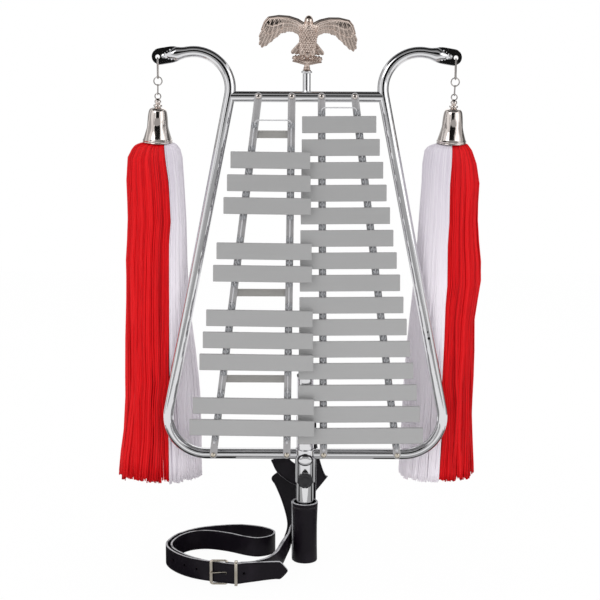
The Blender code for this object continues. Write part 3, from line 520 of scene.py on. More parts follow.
def dress_nodes():
    """Give every carried-over solid the finish of its slot, and the cross strips a dull one."""
    for row in frame["record"]["subparts"]:
        is_strut = row["node"].startswith("rail_strut_")
        materials = nodes[row["node"]].data.materials
        materials.clear()
        materials.append(STRUT if is_strut else DRESS[row["material_slot"]])


def begin(name, kind, **shape):
    """Add a primitive with nothing else selected, and open it for editing, all selected."""
    bpy.ops.object.select_all(action="DESELECT")
    getattr(bpy.ops.mesh, f"primitive_{kind}_add")(**shape)
    piece = bpy.context.object
    piece.name = name
    bpy.ops.object.mode_set(mode="EDIT")
    bpy.ops.mesh.select_all(action="SELECT")
    return piece


def draw_out(by, size=None, centre=None):
    """Extrude what is selected by a distance, then resize it about a point."""
    bpy.ops.mesh.extrude_region_move(TRANSFORM_OT_translate={"value": by})
    if size:
        bpy.ops.transform.resize(value=size, center_override=centre)


def close_up():
    """Merge doubles, point the faces outwards and leave edit mode."""
    bpy.ops.mesh.select_all(action="SELECT")
    bpy.ops.mesh.remove_doubles(threshold=0.005)
    bpy.ops.mesh.normals_make_consistent(inside=False)
    bpy.ops.object.mode_set(mode="OBJECT")


def raised(base, profile):
    """(radius, height) pairs lifted by a height."""
    return [(radius, base + height) for radius, height in profile]


def tube_profile(bottom, top, rim):
    """The closed profile of a tube, from (radius, distance from the end) pairs of its rim."""
    profile = raised(bottom, rim) + [(radius, top - inward) for radius, inward in reversed(rim)]
    return profile + profile[:1]


def turned(name, profile, sides):
    """A solid of revolution on Z, drawn out from a disc through (radius, height) pairs."""
    radius, height = profile[0]
    hollow = profile[0] == profile[-1]
    piece = begin(name, "circle", vertices=sides, radius=radius, location=(0, 0, height),
                  fill_type="NOTHING" if hollow else "NGON")
    for new_radius, new_height in profile[1:]:
        k = new_radius / radius
        draw_out((0, 0, new_height - height), (k, k, 1), (0, 0, new_height))
        radius, height = new_radius, new_height
    close_up()
    return piece


def pick(piece):
    """Make a piece the only selected and active object."""
    bpy.ops.object.select_all(action="DESELECT")
    piece.select_set(True)
    bpy.context.view_layer.objects.active = piece


def apply_modifiers(piece):
    pick(piece)
    for modifier in list(piece.modifiers):
        bpy.ops.object.modifier_apply(modifier=modifier.name)


def cut(piece, cutter, operation="DIFFERENCE"):
    """Cut a shape from a piece, or unite it with the piece, and use the shape up."""
    modifier = piece.modifiers.new("cut", "BOOLEAN")
    modifier.operation = operation
    modifier.object = cutter
    apply_modifiers(piece)
    bpy.data.objects.remove(cutter)


def store(piece, name, values):
    """Store a number for each point of a piece, for its finish to use."""
    piece.data.attributes.new(name, "FLOAT", "POINT").data.foreach_set("value", values)


def linked(name, data):
    """A new object in the scene, the only selected and active one."""
    piece = bpy.data.objects.new(name, data)
    bpy.context.scene.collection.objects.link(piece)
    pick(piece)
    return piece


def skinned(name, vertices, faces, looks=(), marked=()):
    """A closed piece from points and faces, of which the marked ones have the second look."""
    mesh = bpy.data.meshes.new(name)
    mesh.from_pydata(vertices, [], faces)
    for look in looks:
        mesh.materials.append(look)
    for polygon, is_marked in zip(mesh.polygons, marked):
        polygon.material_index = int(is_marked and len(looks) > 1)
    piece = linked(name, mesh)
    bpy.ops.object.mode_set(mode="EDIT")
    close_up()
    return piece


def moved(piece, place):
    """Put a piece in place, still in mm, with its place in its mesh."""
    pick(piece)
    bpy.ops.object.transform_apply(location=True, rotation=True, scale=True)
    piece.data.transform(place)
    if place.determinant() < 0:
        piece.data.flip_normals()
    return piece


def copied(piece, name, place):
    """A copy with its own mesh, in its own place."""
    twin = piece.copy()
    twin.data = piece.data.copy()
    twin.name = name
    bpy.context.scene.collection.objects.link(twin)
    return moved(twin, place)


def joined(name, pieces):
    """Several pieces as one."""
    pick(pieces[0])
    for piece in pieces:
        piece.select_set(True)
    bpy.ops.object.join()
    pieces[0].name = name
    return pieces[0]


def settle(piece, look, body, slot, *replaced, smooth=35):
    """Finish a piece drawn in mm: metres, smooth faces, its finish, its body and its node."""
    moved(piece, Matrix.Scale(MM, 4))
    if smooth:
        pick(piece)
        bpy.ops.object.shade_smooth_by_angle(angle=math.radians(smooth))
    if look:
        piece.data.materials.clear()
        piece.data.materials.append(look)
    piece.data.name = piece.name
    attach(piece, body)
    if replaced:
        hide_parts(*replaced)


def rotation(degrees, axis):
    return Matrix.Rotation(math.radians(degrees), 4, axis)


def framed(at, *axes):
    """The matrix with the given columns and origin."""
    place = Matrix.Identity(4)
    for column, axis in enumerate(axes):
        for row in range(3):
            place[row][column] = axis[row]
    return Matrix.Translation(at) @ place


def along_front(x, z):
    """A matrix that lays a piece turned on Z along -Y, towards the audience."""
    return Matrix.Translation((x, 0, z)) @ rotation(90, "X")


def cut_box(piece, centre, size, turn=0.0):
    """Cut a box from a piece, turned on Z by an angle in degrees."""
    box = begin("box", "cube", size=1, location=centre, scale=size,
                rotation=(0, 0, math.radians(turn)))
    close_up()
    cut(piece, moved(box, Matrix()))


def drill(piece, radius, x, z, near=-20.0, far=20.0):
    """Bore a hole from front to back."""
    bit = turned("drill", [(radius, near), (radius, far)], 20)
    cut(piece, moved(bit, along_front(x, z)))


def smoothstep(value, start, end):
    t = max(0.0, min(1.0, (value - start) / (end - start)))
    return t * t * (3 - 2 * t)


def side_tube_x(z):
    return SIDE_X + SIDE_LEAN * (SIDE_Z - z)


def rail_x(rail, z):
    share = (CROSSBAR_Z - z) / (CROSSBAR_Z - BOTTOM_Z)
    return rail[0] + (rail[1] - rail[0]) * share


def bar_height(index):
    return BAR_TOP_Z - BAR_PITCH * index


def horn_point(side, along):
    """A point on the straight end of a horn, measured from the end of its bend."""
    turn = math.radians(90 - HORN_DROOP)
    droop = math.radians(HORN_DROOP)
    x = HORN_CENTRE[0] + HORN_R * math.cos(turn) + along * math.cos(droop)
    z = HORN_CENTRE[1] + HORN_R * math.sin(turn) - along * math.sin(droop)
    return Vector((side * x, 0, z))


def tip_height(along):
    """Half height of the horn's tip, from the round tube to the flat and its round end."""
    if along > TIP_ROUND_FROM:
        return math.sqrt(TIP_HALF**2 - (along - TIP_ROUND_FROM) ** 2)
    return TUBE_R + (TIP_HALF - TUBE_R) * smoothstep(along, TIP_FROM, TIP_FLAT_FROM)


def tip_thickness(along, height):
    """Half thickness of the pressed tip, whose bulge narrows to a point where the flat begins."""
    share = max(0.0, min(1.0, (BULGE_END - along) / BULGE_LENGTH))
    reach = 12.0 * share
    if height >= reach:
        return TIP_THIN
    bulge = min(1.0, 1.6 * share) * math.sqrt(1 - (height / reach) ** 2)
    return TIP_THIN + (TUBE_R - TIP_THIN) * bulge


def spin(angle, centre):
    """Draw a tube's end round a centre in the frame's plane."""
    bpy.ops.mesh.spin(steps=SPIN_STEPS, angle=angle, center=(centre[0], 0, centre[1]),
                      axis=(0, 1, 0))


def bent_tube(side, name):
    """Half of the frame: a pressed tip, spun back round the horn and the corner to the staff."""
    piece = begin(f"bent_tube_{name}", "circle", vertices=TUBE_SIDES, radius=TUBE_R,
                  rotation=(0, math.radians(90), 0))
    reach = [TIP_FROM + i * TIP_STEP for i in range(TIP_STEPS)]
    reach += [TIP_ROUND_FROM + TIP_HALF * share for share in TIP_END_SHARES]
    at, height = 0.0, TUBE_R
    for along in reach:
        new_height = tip_height(along)
        draw_out((along - at, 0, 0), (1, 1, new_height / height), (along, 0, 0))
        at, height = along, new_height
    bpy.ops.mesh.edge_face_add()
    bpy.ops.object.mode_set(mode="OBJECT")
    for vertex in piece.data.vertices:
        half = tip_thickness(vertex.co.z, abs(vertex.co.x))
        vertex.co.y = max(-half, min(half, vertex.co.y))
    start = horn_point(1, 0)
    moved(piece, Matrix.Translation(start) @ rotation(HORN_DROOP, "Y"))
    bpy.ops.object.mode_set(mode="EDIT")
    select_where(piece, lambda co: abs((co - start).dot(horn_point(1, 1) - start)) < 0.01)
    lean = math.atan(SIDE_LEAN)
    spin(math.pi + lean - math.radians(90 - HORN_DROOP), HORN_CENTRE)
    outwards = Vector((math.cos(lean), math.sin(lean)))
    side_top = Vector(HORN_CENTRE) - HORN_R * outwards
    side_foot = Vector(CORNER_CENTRE) + CORNER_R * outwards
    draw_out((side_foot.x - side_top.x, 0, side_foot.y - side_top.y))
    spin(-math.pi / 2 - lean, CORNER_CENTRE)
    draw_out((TUBE_END_X - CORNER_CENTRE[0], 0, 0))
    bpy.ops.mesh.edge_face_add()
    close_up()
    hole = horn_point(1, HORN_HOLE_AT)
    drill(piece, HORN_HOLE_R, hole.x, hole.z)
    piece.data.materials.append(CHROME)
    piece.data.materials.append(MOULDING)
    # Painted shade: the walls and floor of the two blind holes in the right tube get the black
    # moulding finish, for the dark inside of a hole.
    if side > 0:
        for z, radius in SIDE_HOLES:
            drill(piece, radius, side_tube_x(z), z, 5.0, 12.0)
            for polygon in piece.data.polygons:
                away = math.hypot(polygon.center.x - side_tube_x(z), polygon.center.z - z)
                if away < radius + 0.05 and polygon.center.y < 0:
                    polygon.material_index = 1
    moved(piece, Matrix.Scale(side, 4, (1, 0, 0)))
    settle(piece, None, "frame", "chrome", f"frame_tube_{name}", smooth=28)


def select_where(piece, test):
    """In edit mode, select only the vertices whose world place passes a test."""
    bpy.ops.mesh.select_all(action="DESELECT")
    bpy.ops.mesh.select_mode(type="VERT")
    bpy.ops.object.mode_set(mode="OBJECT")
    for vertex in piece.data.vertices:
        vertex.select = bool(test(piece.matrix_world @ vertex.co))
    bpy.ops.object.mode_set(mode="EDIT")


def crossbar():
    """The tube between the two sides."""
    ends = [(TUBE_R, -CROSSBAR_HALF), (TUBE_R, CROSSBAR_HALF)]
    bar = turned("crossbar_tube", ends, TUBE_SIDES)
    lay = Matrix.Translation((0, 0, CROSSBAR_Z)) @ rotation(90, "Y")
    settle(moved(bar, lay), CHROME, "frame", "chrome", "crossbar")


def staff_parts():
    """Staff tube, its end plug, and the sleeve with its domed boss."""
    rim = [(STAFF_BORE, 0), (STAFF_R - STAFF_LIP, 0), (STAFF_R, STAFF_LIP)]
    staff = turned("staff", tube_profile(STAFF_FOOT, STAFF_TOP, rim), 56)
    settle(staff, CHROME, "staff", "chrome", "staff_tube")

    stem = STAFF_BORE - 0.5
    plug = turned("staff_plug", raised(STAFF_TOP, [
        (stem, -14), (stem, 0.3), (STAFF_R, 0.3), (STAFF_R, 2.2), (STAFF_R - 0.5, 2.9),
        (STAFF_R - 1.6, 3.3), (6.0, 3.4), (5.4, 2.8),
    ]), 40)
    settle(plug, MOULDING, "staff", "black_plastic", "staff_end_plug")

    rim = [(SLEEVE_BORE, 0), (SLEEVE_R - 1, 0), (SLEEVE_R - 0.3, 0.3), (SLEEVE_R, 1), (SLEEVE_R, 2)]
    sleeve = turned("sleeve", tube_profile(SLEEVE_FOOT, SLEEVE_TOP, rim), 56)
    dome = [(1.0, 8.0), (1.0, 18.0), (0.985, 19.0), (0.94, 20.2), (0.85, 21.2), (0.7, 21.9),
            (0.45, 22.3), (0.15, 22.4)]
    boss = turned("boss", [(share * BOSS_HALF[0], front) for share, front in dome], 48)
    flatter = Matrix.Scale(BOSS_HALF[1] / BOSS_HALF[0], 4, (0, 1, 0))
    moved(boss, along_front(0, BOSS_Z) @ flatter)
    gap = SLEEVE_BORE + 0.5
    cut(boss, turned("gap", [(gap, SLEEVE_FOOT), (gap, SLEEVE_TOP)], 40))
    cut(sleeve, boss, "UNION")
    drill(sleeve, CLAMP_HOLE_R, 0, CLAMP_Z, 10.0, 20.0)
    settle(sleeve, SLEEVE_CHROME, "frame", "chrome", "staff_sleeve", smooth=30)


def clamp_knob():
    """The fluted knob with a dished face, on its threaded screw."""
    grip = raised(KNOB_BACK, [(8.6, 0), (10.4, 0.3), (11.6, 1.4), (KNOB_R, 2.6)])
    face = raised(KNOB_FRONT, [
        (KNOB_R, -2.4), (11.5, -0.9), (10.3, 0), (8.2, 0), (7.2, -0.7), (3.0, -1.0), (1.0, -1.0),
    ])
    knob = turned("knob", grip + face, KNOB_FLUTES * 8)
    for vertex in knob.data.vertices:
        if math.hypot(vertex.co.x, vertex.co.y) > FLUTES_FROM_R:
            turn = math.atan2(vertex.co.y, vertex.co.x) * KNOB_FLUTES
            scallop = 1 - FLUTE_DEPTH * max(0.0, math.cos(turn)) ** 1.5
            vertex.co.x *= scallop
            vertex.co.y *= scallop
    thread = [(2.4, SCREW_FOOT)]
    for i in range(THREADS):
        thread += raised(SCREW_FOOT + 0.1 + i, [(3.0, 0.3), (3.0, 0.45), (2.55, 0.85)])
    screw = turned("screw", thread, 20)
    screw.data.materials.append(NICKEL)
    knob.data.materials.append(MOULDING)
    knob = joined("clamp_knob_moulding", [knob, screw])
    moved(knob, along_front(0, CLAMP_Z))
    settle(knob, None, "clamp", "black_plastic", "clamp_knob")


def finial_post():
    """The short post on the crossbar, spreading into a collar."""
    shape = raised(CROSSBAR_Z, [(POST_R + 0.9, 6.4), (POST_R + 0.3, 8.4), (POST_R, 9.6),
                                (POST_R, 10.6)])
    shape += raised(POST_TOP, [(POST_R, -1.6), (POST_R, -0.6), (POST_R + 0.6, 0),
                               (COLLAR_R - 0.3, 0.5), (COLLAR_R, 1.1)])
    shape += raised(EAGLE_FOOT, [(COLLAR_R, -1.2), (COLLAR_R - 0.7, -0.4)])
    settle(turned("finial_stem", shape, 48), CHROME, "frame", "chrome", "finial_post")


def rail_strip(name, top, bottom):
    """A flat bar with round ends between two (x, z) places: an outline drawn out and softened."""
    a, b = Vector((top[0], 0, top[1])), Vector((bottom[0], 0, bottom[1]))
    length = (a - b).length + RAIL_WIDTH
    strip = begin(name, "plane", size=1)
    bpy.ops.transform.resize(value=(length, RAIL_WIDTH, 1), center_override=(0, 0, 0))
    bpy.ops.mesh.bevel(offset=RAIL_WIDTH / 2 - 0.02, segments=10, affect="VERTICES")
    draw_out((0, 0, RAIL_BACK - RAIL_FRONT))
    close_up()
    heading = (a - b).normalized()
    middle = (a + b) / 2
    turn = Matrix.Rotation(-math.atan2(heading.z, heading.x), 4, "Y")
    place = Matrix.Translation((middle.x, RAIL_BACK, middle.z)) @ turn
    moved(strip, place @ rotation(90, "X"))
    edges = strip.modifiers.new("edges", "BEVEL")
    edges.width = RAIL_EDGE
    edges.segments = 2
    edges.limit_method = "ANGLE"
    edges.angle_limit = math.radians(35)
    apply_modifiers(strip)
    return strip


def cord_post(y):
    """A nylon post, its foot on the rail and its neck slotted for the cord."""
    shape = raised(-RAIL_FRONT, [(POST_FOOT_R - 0.5, -0.6), (POST_FOOT_R, 0)])
    shape += raised(-y - 3.4, [(POST_FOOT_R, -0.6), (POST_FOOT_R - 0.6, 0), (POST_NECK_R, 0)])
    shape += raised(-y + 2.4, [(POST_NECK_R, -0.5), (POST_NECK_R - 0.5, 0)])
    post = turned("cord_post", shape, 18)
    cut_box(post, (0, 0, -y + 5), (POST_SLOT, 12, 13))
    return post


def pan_screw(material):
    """A round-head screw with a cross recess."""
    head = -RAIL_FRONT
    screw = turned("pan_screw", [(1.7, 4.5)] + raised(head, [
        (1.7, -0.2), (4.0, -0.2), (4.2, 0.2), (4.1, 0.8), (3.7, 1.5), (2.9, 2.05), (1.6, 2.4),
        (0.6, 2.5),
    ]), 28)
    for turn in SCREW_CROSS:
        cut_box(screw, (0, 0, head + 2.3), (4.0, 0.8, 1.6), turn)
    screw.data.materials.append(material)
    return screw


def rails():
    """Four flat rails, each with its row of cord posts and its two screws."""
    screw = pan_screw(NICKEL)
    for side, row, y, count, half, drop in BAR_ROWS:
        post = cord_post(y)
        for place, rail in (("inner", RAIL_INNER), ("outer", RAIL_OUTER)):
            top, bottom = (side * rail[0], CROSSBAR_Z), (side * rail[1], BOTTOM_Z)
            strip = rail_strip(f"rail_strip_{row}_{place}", top, bottom)
            screws = []
            for (x, z), look in ((top, NICKEL), (bottom, BRASSY)):
                twin = copied(screw, "screw", along_front(x, z))
                twin.data.materials[0] = look
                screws.append(twin)
            settle(strip, STRIP, "frame", "rail_aluminium", f"rail_{row}_{place}")
            screws = joined(f"rail_screws_{row}_{place}", screws)
            settle(screws, None, "frame", "nickel")
            posts = []
            for i in range(count):
                z = bar_height(i - half) - drop
                posts.append(copied(post, "post", along_front(side * rail_x(rail, z), z)))
            posts = joined(f"cord_posts_{row}_{place}", posts)
            settle(posts, POST, "frame", "nylon_cord")
        bpy.data.objects.remove(post)
    bpy.data.objects.remove(screw)


def wire(name, lines, radius, closed=False, resolution=3, radii=None, caps=True):
    """Round wires or cords drawn along lines of points, in mm, as one mesh."""
    curve = bpy.data.curves.new(name, "CURVE")
    curve.dimensions = "3D"
    curve.bevel_depth = radius
    curve.bevel_resolution = resolution
    curve.use_fill_caps = caps
    for points in lines:
        line = curve.splines.new("POLY")
        line.points.add(len(points) - 1)
        line.use_cyclic_u = closed
        for i, (spot, place) in enumerate(zip(line.points, points)):
            spot.co = (*place, 1)
            spot.radius = radii[i] if radii else 1.0
    linked(name, curve)
    bpy.ops.object.convert(target="MESH")
    return bpy.context.object


def bar_cords():
    """The cord of each row of bars: up the inner rail, across and down the outer one."""
    for side, row, y, count, half, drop in BAR_ROWS:
        end = bar_height(count - 1 - half) - drop - CORD_TAIL
        turn = bar_height(-half) - drop + CORD_ARCH
        legs = []
        for rail, inward in ((RAIL_INNER, 1), (RAIL_OUTER, -1)):
            leg = [(rail_x(rail, end + lift), end + lift, r) for lift, r in CORD_KNOT]
            first, last = end + 8, turn - CORD_CORNER_R
            for i in range(CORD_STEPS + 1):
                z = first + (last - first) * i / CORD_STEPS
                leg.append((rail_x(rail, z), z, 1.0))
            corner = rail_x(rail, turn)
            for degrees in (18, 36, 54, 72, 90):
                swing = math.radians(degrees)
                x = corner + inward * CORD_CORNER_R * (1 - math.cos(swing))
                leg.append((x, last + CORD_CORNER_R * math.sin(swing), 1.0))
            legs.append(leg)
        route = legs[0] + legs[1][::-1]
        cord = wire(f"cord_{row}", [[(side * x, y, z) for x, z, _ in route]], CORD_R,
                    radii=[r for _, _, r in route])
        settle(cord, CORD, "frame", "nylon_cord", f"bar_cord_{row}")


def link_points(half_width, half_length, steps=10):
    """A closed link with round ends, as (across, along) pairs."""
    points = []
    for base, start in ((1, 0), (-1, 180)):
        for i in range(steps + 1):
            a = math.radians(start + 180 * i / steps)
            along = base * (half_length - half_width) + half_width * math.sin(a)
            points.append((half_width * math.cos(a), along))
    return points


def ring_points(radius, height, steps):
    """Points round an upright ring whose centre is at a height."""
    turns = [math.tau * i / steps for i in range(steps)]
    return [(radius * math.cos(a), 0, height + radius * math.sin(a)) for a in turns]


def tassel_frame(side, aside=0.0):
    """The matrix of a hanging tassel: origin at its pivot, +Z down its length, X to the right."""
    pivot = Vector((horn_point(side, HORN_HOLE_AT).x, 0, TASSEL_PIVOT_Z))
    lean, roll = math.radians(TASSEL_LEAN), math.radians(aside)
    back = Vector((0, math.cos(lean), math.sin(lean)))
    down = Vector((0, math.sin(lean), -math.cos(lean))) * math.cos(roll)
    down -= Vector((math.sin(roll), 0, 0))
    return framed(pivot, down.cross(back), back, down)


def bell_cap(side, name):
    """The bell-shaped cap with its crown knob and eye, hollow below."""
    stem = EYE_TOP + 2 * EYE_R - 1.5
    bell = turned(f"bell_cap_{name}", [(2.0, stem), *BELL_PROFILE], 56)
    for vertex in bell.data.vertices:
        radius = math.hypot(vertex.co.x, vertex.co.y)
        if CROWN[0] < vertex.co.z < CROWN[1] and radius > CROWN_FROM_R:
            turn = math.atan2(vertex.co.y, vertex.co.x)
            notch = 1 - CROWN_NOTCH * (0.5 + 0.5 * math.cos(CROWN_POINTS * turn))
            vertex.co.x *= notch
            vertex.co.y *= notch
    eye = wire("eye", [ring_points(EYE_R, EYE_TOP + EYE_R, 32)], RING_WIRE, closed=True)
    bell.data.materials.append(NICKEL)
    eye.data.materials.append(WIRE_METAL)
    bell = joined(f"bell_cap_{name}", [bell, eye])
    moved(bell, tassel_frame(side, BELL_SIDE_LEAN))
    settle(bell, None, f"{name}_tassel", "nickel", f"{name}_bell")


def hanging_wires(side, name):
    """Hook through the horn's hole, then the ring and the small link on it."""
    hole = horn_point(side, HORN_HOLE_AT)
    middle = (HOOK_TOP + HOOK_BOTTOM) / 2
    half = (HOOK_TOP - HOOK_BOTTOM) / 2
    points = [(hole.x, across, middle + along) for across, along in link_points(HOOK_HALF, half)]
    hook = wire(f"wire_hook_{name}", [points], HOOK_WIRE, closed=True)
    settle(hook, WIRE_METAL, f"{name}_hook", "nickel", f"{name}_hook")

    ring = wire("ring", [ring_points(RING_R, RING_R, 36)], RING_WIRE, closed=True)
    middle = LINK_TOP + LINK_HALF
    points = [(0, across, middle + along) for across, along in link_points(LINK_WIDE, LINK_HALF)]
    link = wire("link", [points], LINK_WIRE, closed=True)
    chain = joined(f"ring_and_link_{name}", [ring, link])
    moved(chain, tassel_frame(side, BELL_SIDE_LEAN))
    settle(chain, WIRE_METAL, f"{name}_tassel", "nickel", f"{name}_tassel_chain")


# Tassel levels: height, then distances from the middle plane of the inner side, of the line
# where the colours meet and of the outer side
LEFT_LEVELS = (
    (702, 218, 222, 237), (686, 217, 220, 239), (673, 214.9, 218, 241.9), (664, 213.4, 217, 244),
    (662.4, 208.5, 217, 251), (661.2, 201, 216.9, 259), (659.2, 197.8, 216.7, 264.2),
    (656.8, 195.8, 216.3, 267.8), (652, 192.6, 215.7, 271.4), (640, 189.8, 214.4, 277.8),
    (605, 188.3, 210.3, 280.3), (571, 187.4, 209.3, 279.2), (545, 186.4, 208.7, 279),
    (510, 186, 212, 281), (479, 185.6, 212.6, 283.6), (416, 184.4, 213.8, 284.4),
    (353, 178.5, 214.5, 286.4), (333, 176.5, 214.7, 287), (289, 173.2, 215, 289.3),
    (257, 170.9, 220, 291.2), (192, 168.4, 218.5, 299), (159, 168, 218.9, 303), (119, 168, 219.4, 306),
)
RIGHT_LEVELS = (
    (702, 214.5, 222, 233.5), (686, 212.5, 222, 234.5), (673, 209.6, 222, 236.6),
    (664, 207.5, 222, 238.2), (662.4, 204, 222, 243.5), (661.2, 195.4, 222, 250.6),
    (659.2, 189.5, 221.9, 252), (656.8, 184.8, 221.8, 254), (652, 180.7, 221.6, 257.5),
    (632, 178, 220.9, 265), (602, 178, 219.3, 270.2), (571, 176.8, 219.8, 269),
    (545, 175.8, 220.1, 269.2), (510, 174.4, 218.7, 272.5), (479, 173, 219.2, 276.8),
    (448, 171, 219.8, 277.8), (416, 169, 218.3, 273), (385, 166.5, 218.2, 268.6),
    (353, 164.2, 218, 269), (333, 163, 217.6, 269.6), (289, 160.6, 216.6, 270.4),
    (257, 158.9, 220, 271), (192, 155.9, 218, 272.9), (140, 153.6, 216.7, 275.2),
    (121, 152.8, 216.2, 276),
)


def tassel_half(side, name, profile, colour, seed):
    """One colour of a tassel: many yarns fanned out from the bell's mouth, over a core painted in the
    yarn's dark colour as the shade under the yarns.
    """
    levels = [(z, (inner + outmost) / 2, (outmost - inner) / 2, edge)
              for z, inner, edge, outmost in profile]
    draw = random.Random(seed)
    outer = colour == "red"
    locks = [(draw.uniform(-1, 1), draw.uniform(0, math.tau), draw.uniform(0.7, 1.3))
             for _ in range(LOCKS)]
    lean = math.cos(math.radians(TASSEL_LEAN))
    pivot_x = horn_point(1, HORN_HOLE_AT).x
    bottom = levels[-1][0]
    wild = 1.0 if outer else WHITE_CALM

    def place(level, u, inset, lock, drift):
        """A point of a yarn: level, share of the way round, depth under the surface."""
        z, centre, width, edge = level
        meeting = max(-MEETING_LIMIT, min(MEETING_LIMIT, (edge - centre) / width))
        limit = math.acos(meeting)
        start, end = (-limit, limit) if outer else (limit, math.tau - limit)
        a = start + (end - start) * u
        fall = smoothstep(MOUTH_Z - z, 6, 520)
        swell = lock[0] * LOCK_SWELL * wild * smoothstep(MOUTH_Z - z, 8, 120)
        reach = width - YARN_R - inset * min(1.0, width / 40) + swell - LOCK_SWELL * wild
        reach = max(1.0, reach)
        depth = max(width * TASSEL_DEPTH, min(width, TASSEL_ROUND_R)) / width * reach
        x = centre + reach * math.cos(a)
        wave = math.sin(z / LOCK_WAVE * lock[2] + lock[1])
        x += wild * (LOCK_SWING * fall * wave + drift * fall)
        x = max(x, edge + YARN_R) if outer else min(x, edge - YARN_R)
        return Vector((side * x - side * pivot_x, depth * math.sin(a), (TASSEL_PIVOT_Z - z) / lean))

    paths, tones = [], []
    for _ in range(YARNS):
        u = draw.random()
        inset = YARN_DEPTH * draw.random() ** 1.8
        wander = draw.uniform(-0.35, 0.35)
        lock = locks[int(min(0.999, max(0.0, u + draw.uniform(-0.012, 0.012))) * LOCKS)]
        drift = draw.uniform(-1.6, 1.6)
        ragged = 3.2 * lock[0] + draw.uniform(-2.2, 2.2)
        sag = (7.0 if outer else 4.0) * abs(u - 0.5)
        end = bottom + 4.0 + ragged + sag + inset * 0.7
        path = []
        for above, level in zip(levels[:1] + levels, levels):
            cut_level = level
            if level[0] < end:
                rest = (above[0] - end) / (above[0] - level[0])
                cut_level = [p + (q - p) * rest for p, q in zip(above, level)]
            share = u + wander / max(12.0, level[2]) * smoothstep(MOUTH_Z - level[0], 6, 300)
            path.append(place(cut_level, max(0.0, min(1.0, share)), inset, lock, drift))
            if level[0] <= end:
                break
        paths.append(path)
        # Painted shade: on top of a random spread, locks that sink in get a lower number, so a darker
        # colour, and locks that swell out a paler one.
        tone_and_depth_shade = draw.gauss(0.5, 0.16) + 0.16 * lock[0]
        tones += [tone_and_depth_shade] * (len(path) * YARN_SIDES)
    yarns = wire(f"yarn_{colour}_{name}", paths, YARN_R, resolution=0, caps=False)
    store(yarns, "tone_and_depth_shade", tones)
    bpy.ops.object.mode_set(mode="EDIT")
    bpy.ops.mesh.select_all(action="SELECT")
    bpy.ops.mesh.fill_holes(sides=YARN_SIDES)
    bpy.ops.object.mode_set(mode="OBJECT")

    rings = []
    flat_lock = (0.0, 0.0, 1.0)
    for level in levels:
        if level[0] >= bottom + CORE_LIFT:
            rings.append([place(level, i / (CORE_SIDES - 1), CORE_DEPTH, flat_lock, 0.0)
                          for i in range(CORE_SIDES)])
    core = core_of(f"core_{colour}_{name}", rings)
    # Painted shade: the core's stored number stays 0, so it is painted in the yarn's dark colour as
    # the shade under the yarns.
    core.data.attributes.new("tone_and_depth_shade", "FLOAT", "POINT")
    tassel = joined(f"yarn_{colour}_{name}", [yarns, core])
    moved(tassel, tassel_frame(side))
    look = RED if outer else WHITE
    settle(tassel, look, f"{name}_tassel", f"{colour}_yarn", f"{name}_strands_{colour}", smooth=None)


def core_of(name, rings):
    """A closed skin through rings of points, for what lies under the outer yarns."""
    count = len(rings[0])
    last = (len(rings) - 1) * count
    faces = [list(range(count))[::-1]]
    for ring in range(0, last, count):
        for i in range(count):
            j = (i + 1) % count
            faces.append([ring + i, ring + j, ring + count + j, ring + count + i])
    faces.append([last + i for i in range(count)])
    return skinned(name, [point for ring in rings for point in ring], faces)


def lump(at, half, tilt=0, lean=0):
    """A stretched ball of the casting: its middle, half sizes and turns about X, then Y."""
    ball = begin("lump", "uv_sphere", segments=20, ring_count=12, radius=1.0)
    close_up()
    turn = rotation(lean, "Y") @ rotation(tilt, "X")
    return moved(ball, Matrix.Translation(at) @ turn @ Matrix.Diagonal((*half, 1)))


def feather_blade():
    """One feather of unit length along X: narrow root, round end and a raised shaft."""
    blade = begin("blade", "uv_sphere", segments=14, ring_count=18, radius=1.0,
                  rotation=(0, math.radians(90), 0))
    close_up()
    moved(blade, Matrix())
    round_from = 0.86
    for vertex in blade.data.vertices:
        x, y, z = vertex.co
        t = (x + 1) / 2
        ring = max(1e-4, math.sqrt(max(0.0, 1 - x * x)))
        if t > round_from:
            width = 0.5 * math.sqrt(max(0.0, 1 - ((t - round_from) / 0.14) ** 2))
        else:
            width = min(1.0, math.sqrt(t * 14)) * (0.3 + 0.2 * t / round_from)
        shaft = 0.35 * math.exp(-((y / ring) / 0.2) ** 2) * (1 - t)
        height = z / ring * 0.5 + math.copysign(shaft, z)
        vertex.co = (t, y / ring * width, height * min(1, width * 3))
    return blade


def feathered(blade, root, tip, width, thick):
    """A copy of the blade from its root to its tip, flat towards the front."""
    along = Vector(tip) - Vector(root)
    across = Vector((0, -1, 0)).cross(along).normalized()
    face = along.cross(across).normalized()
    return copied(blade, "feather", framed(root, along, across * width, face * thick))


def between(stations, t):
    """The point at a share of the way along a line of evenly shared stations."""
    step = max(0.0, min(0.9999, t)) * (len(stations) - 1)
    i = int(step)
    return Vector(stations[i]).lerp(Vector(stations[i + 1]), step - i)


WING_ARM = ((6, -3, 838), (17, -3.4, 844.4), (30, -4, 848.2), (45, -5, 849), (60, -6, 846.6))
SECONDARY_TIPS = ((13, 1, 822), (20, 0.5, 826.5), (28, 0, 828.6), (37, -1, 826.4), (46, -2, 822.4))
PRIMARY_TIPS = ((49, -2.4, 819), (56, -3.2, 812.4), (62, -4, 806.8), (67.5, -4.8, 802.8),
                (71.2, -5.4, 802.4), (73.4, -6, 807), (73.0, -6.4, 817))
WING_EDGE = (*WING_ARM, (66, -6.4, 840), (70.5, -6.6, 828))

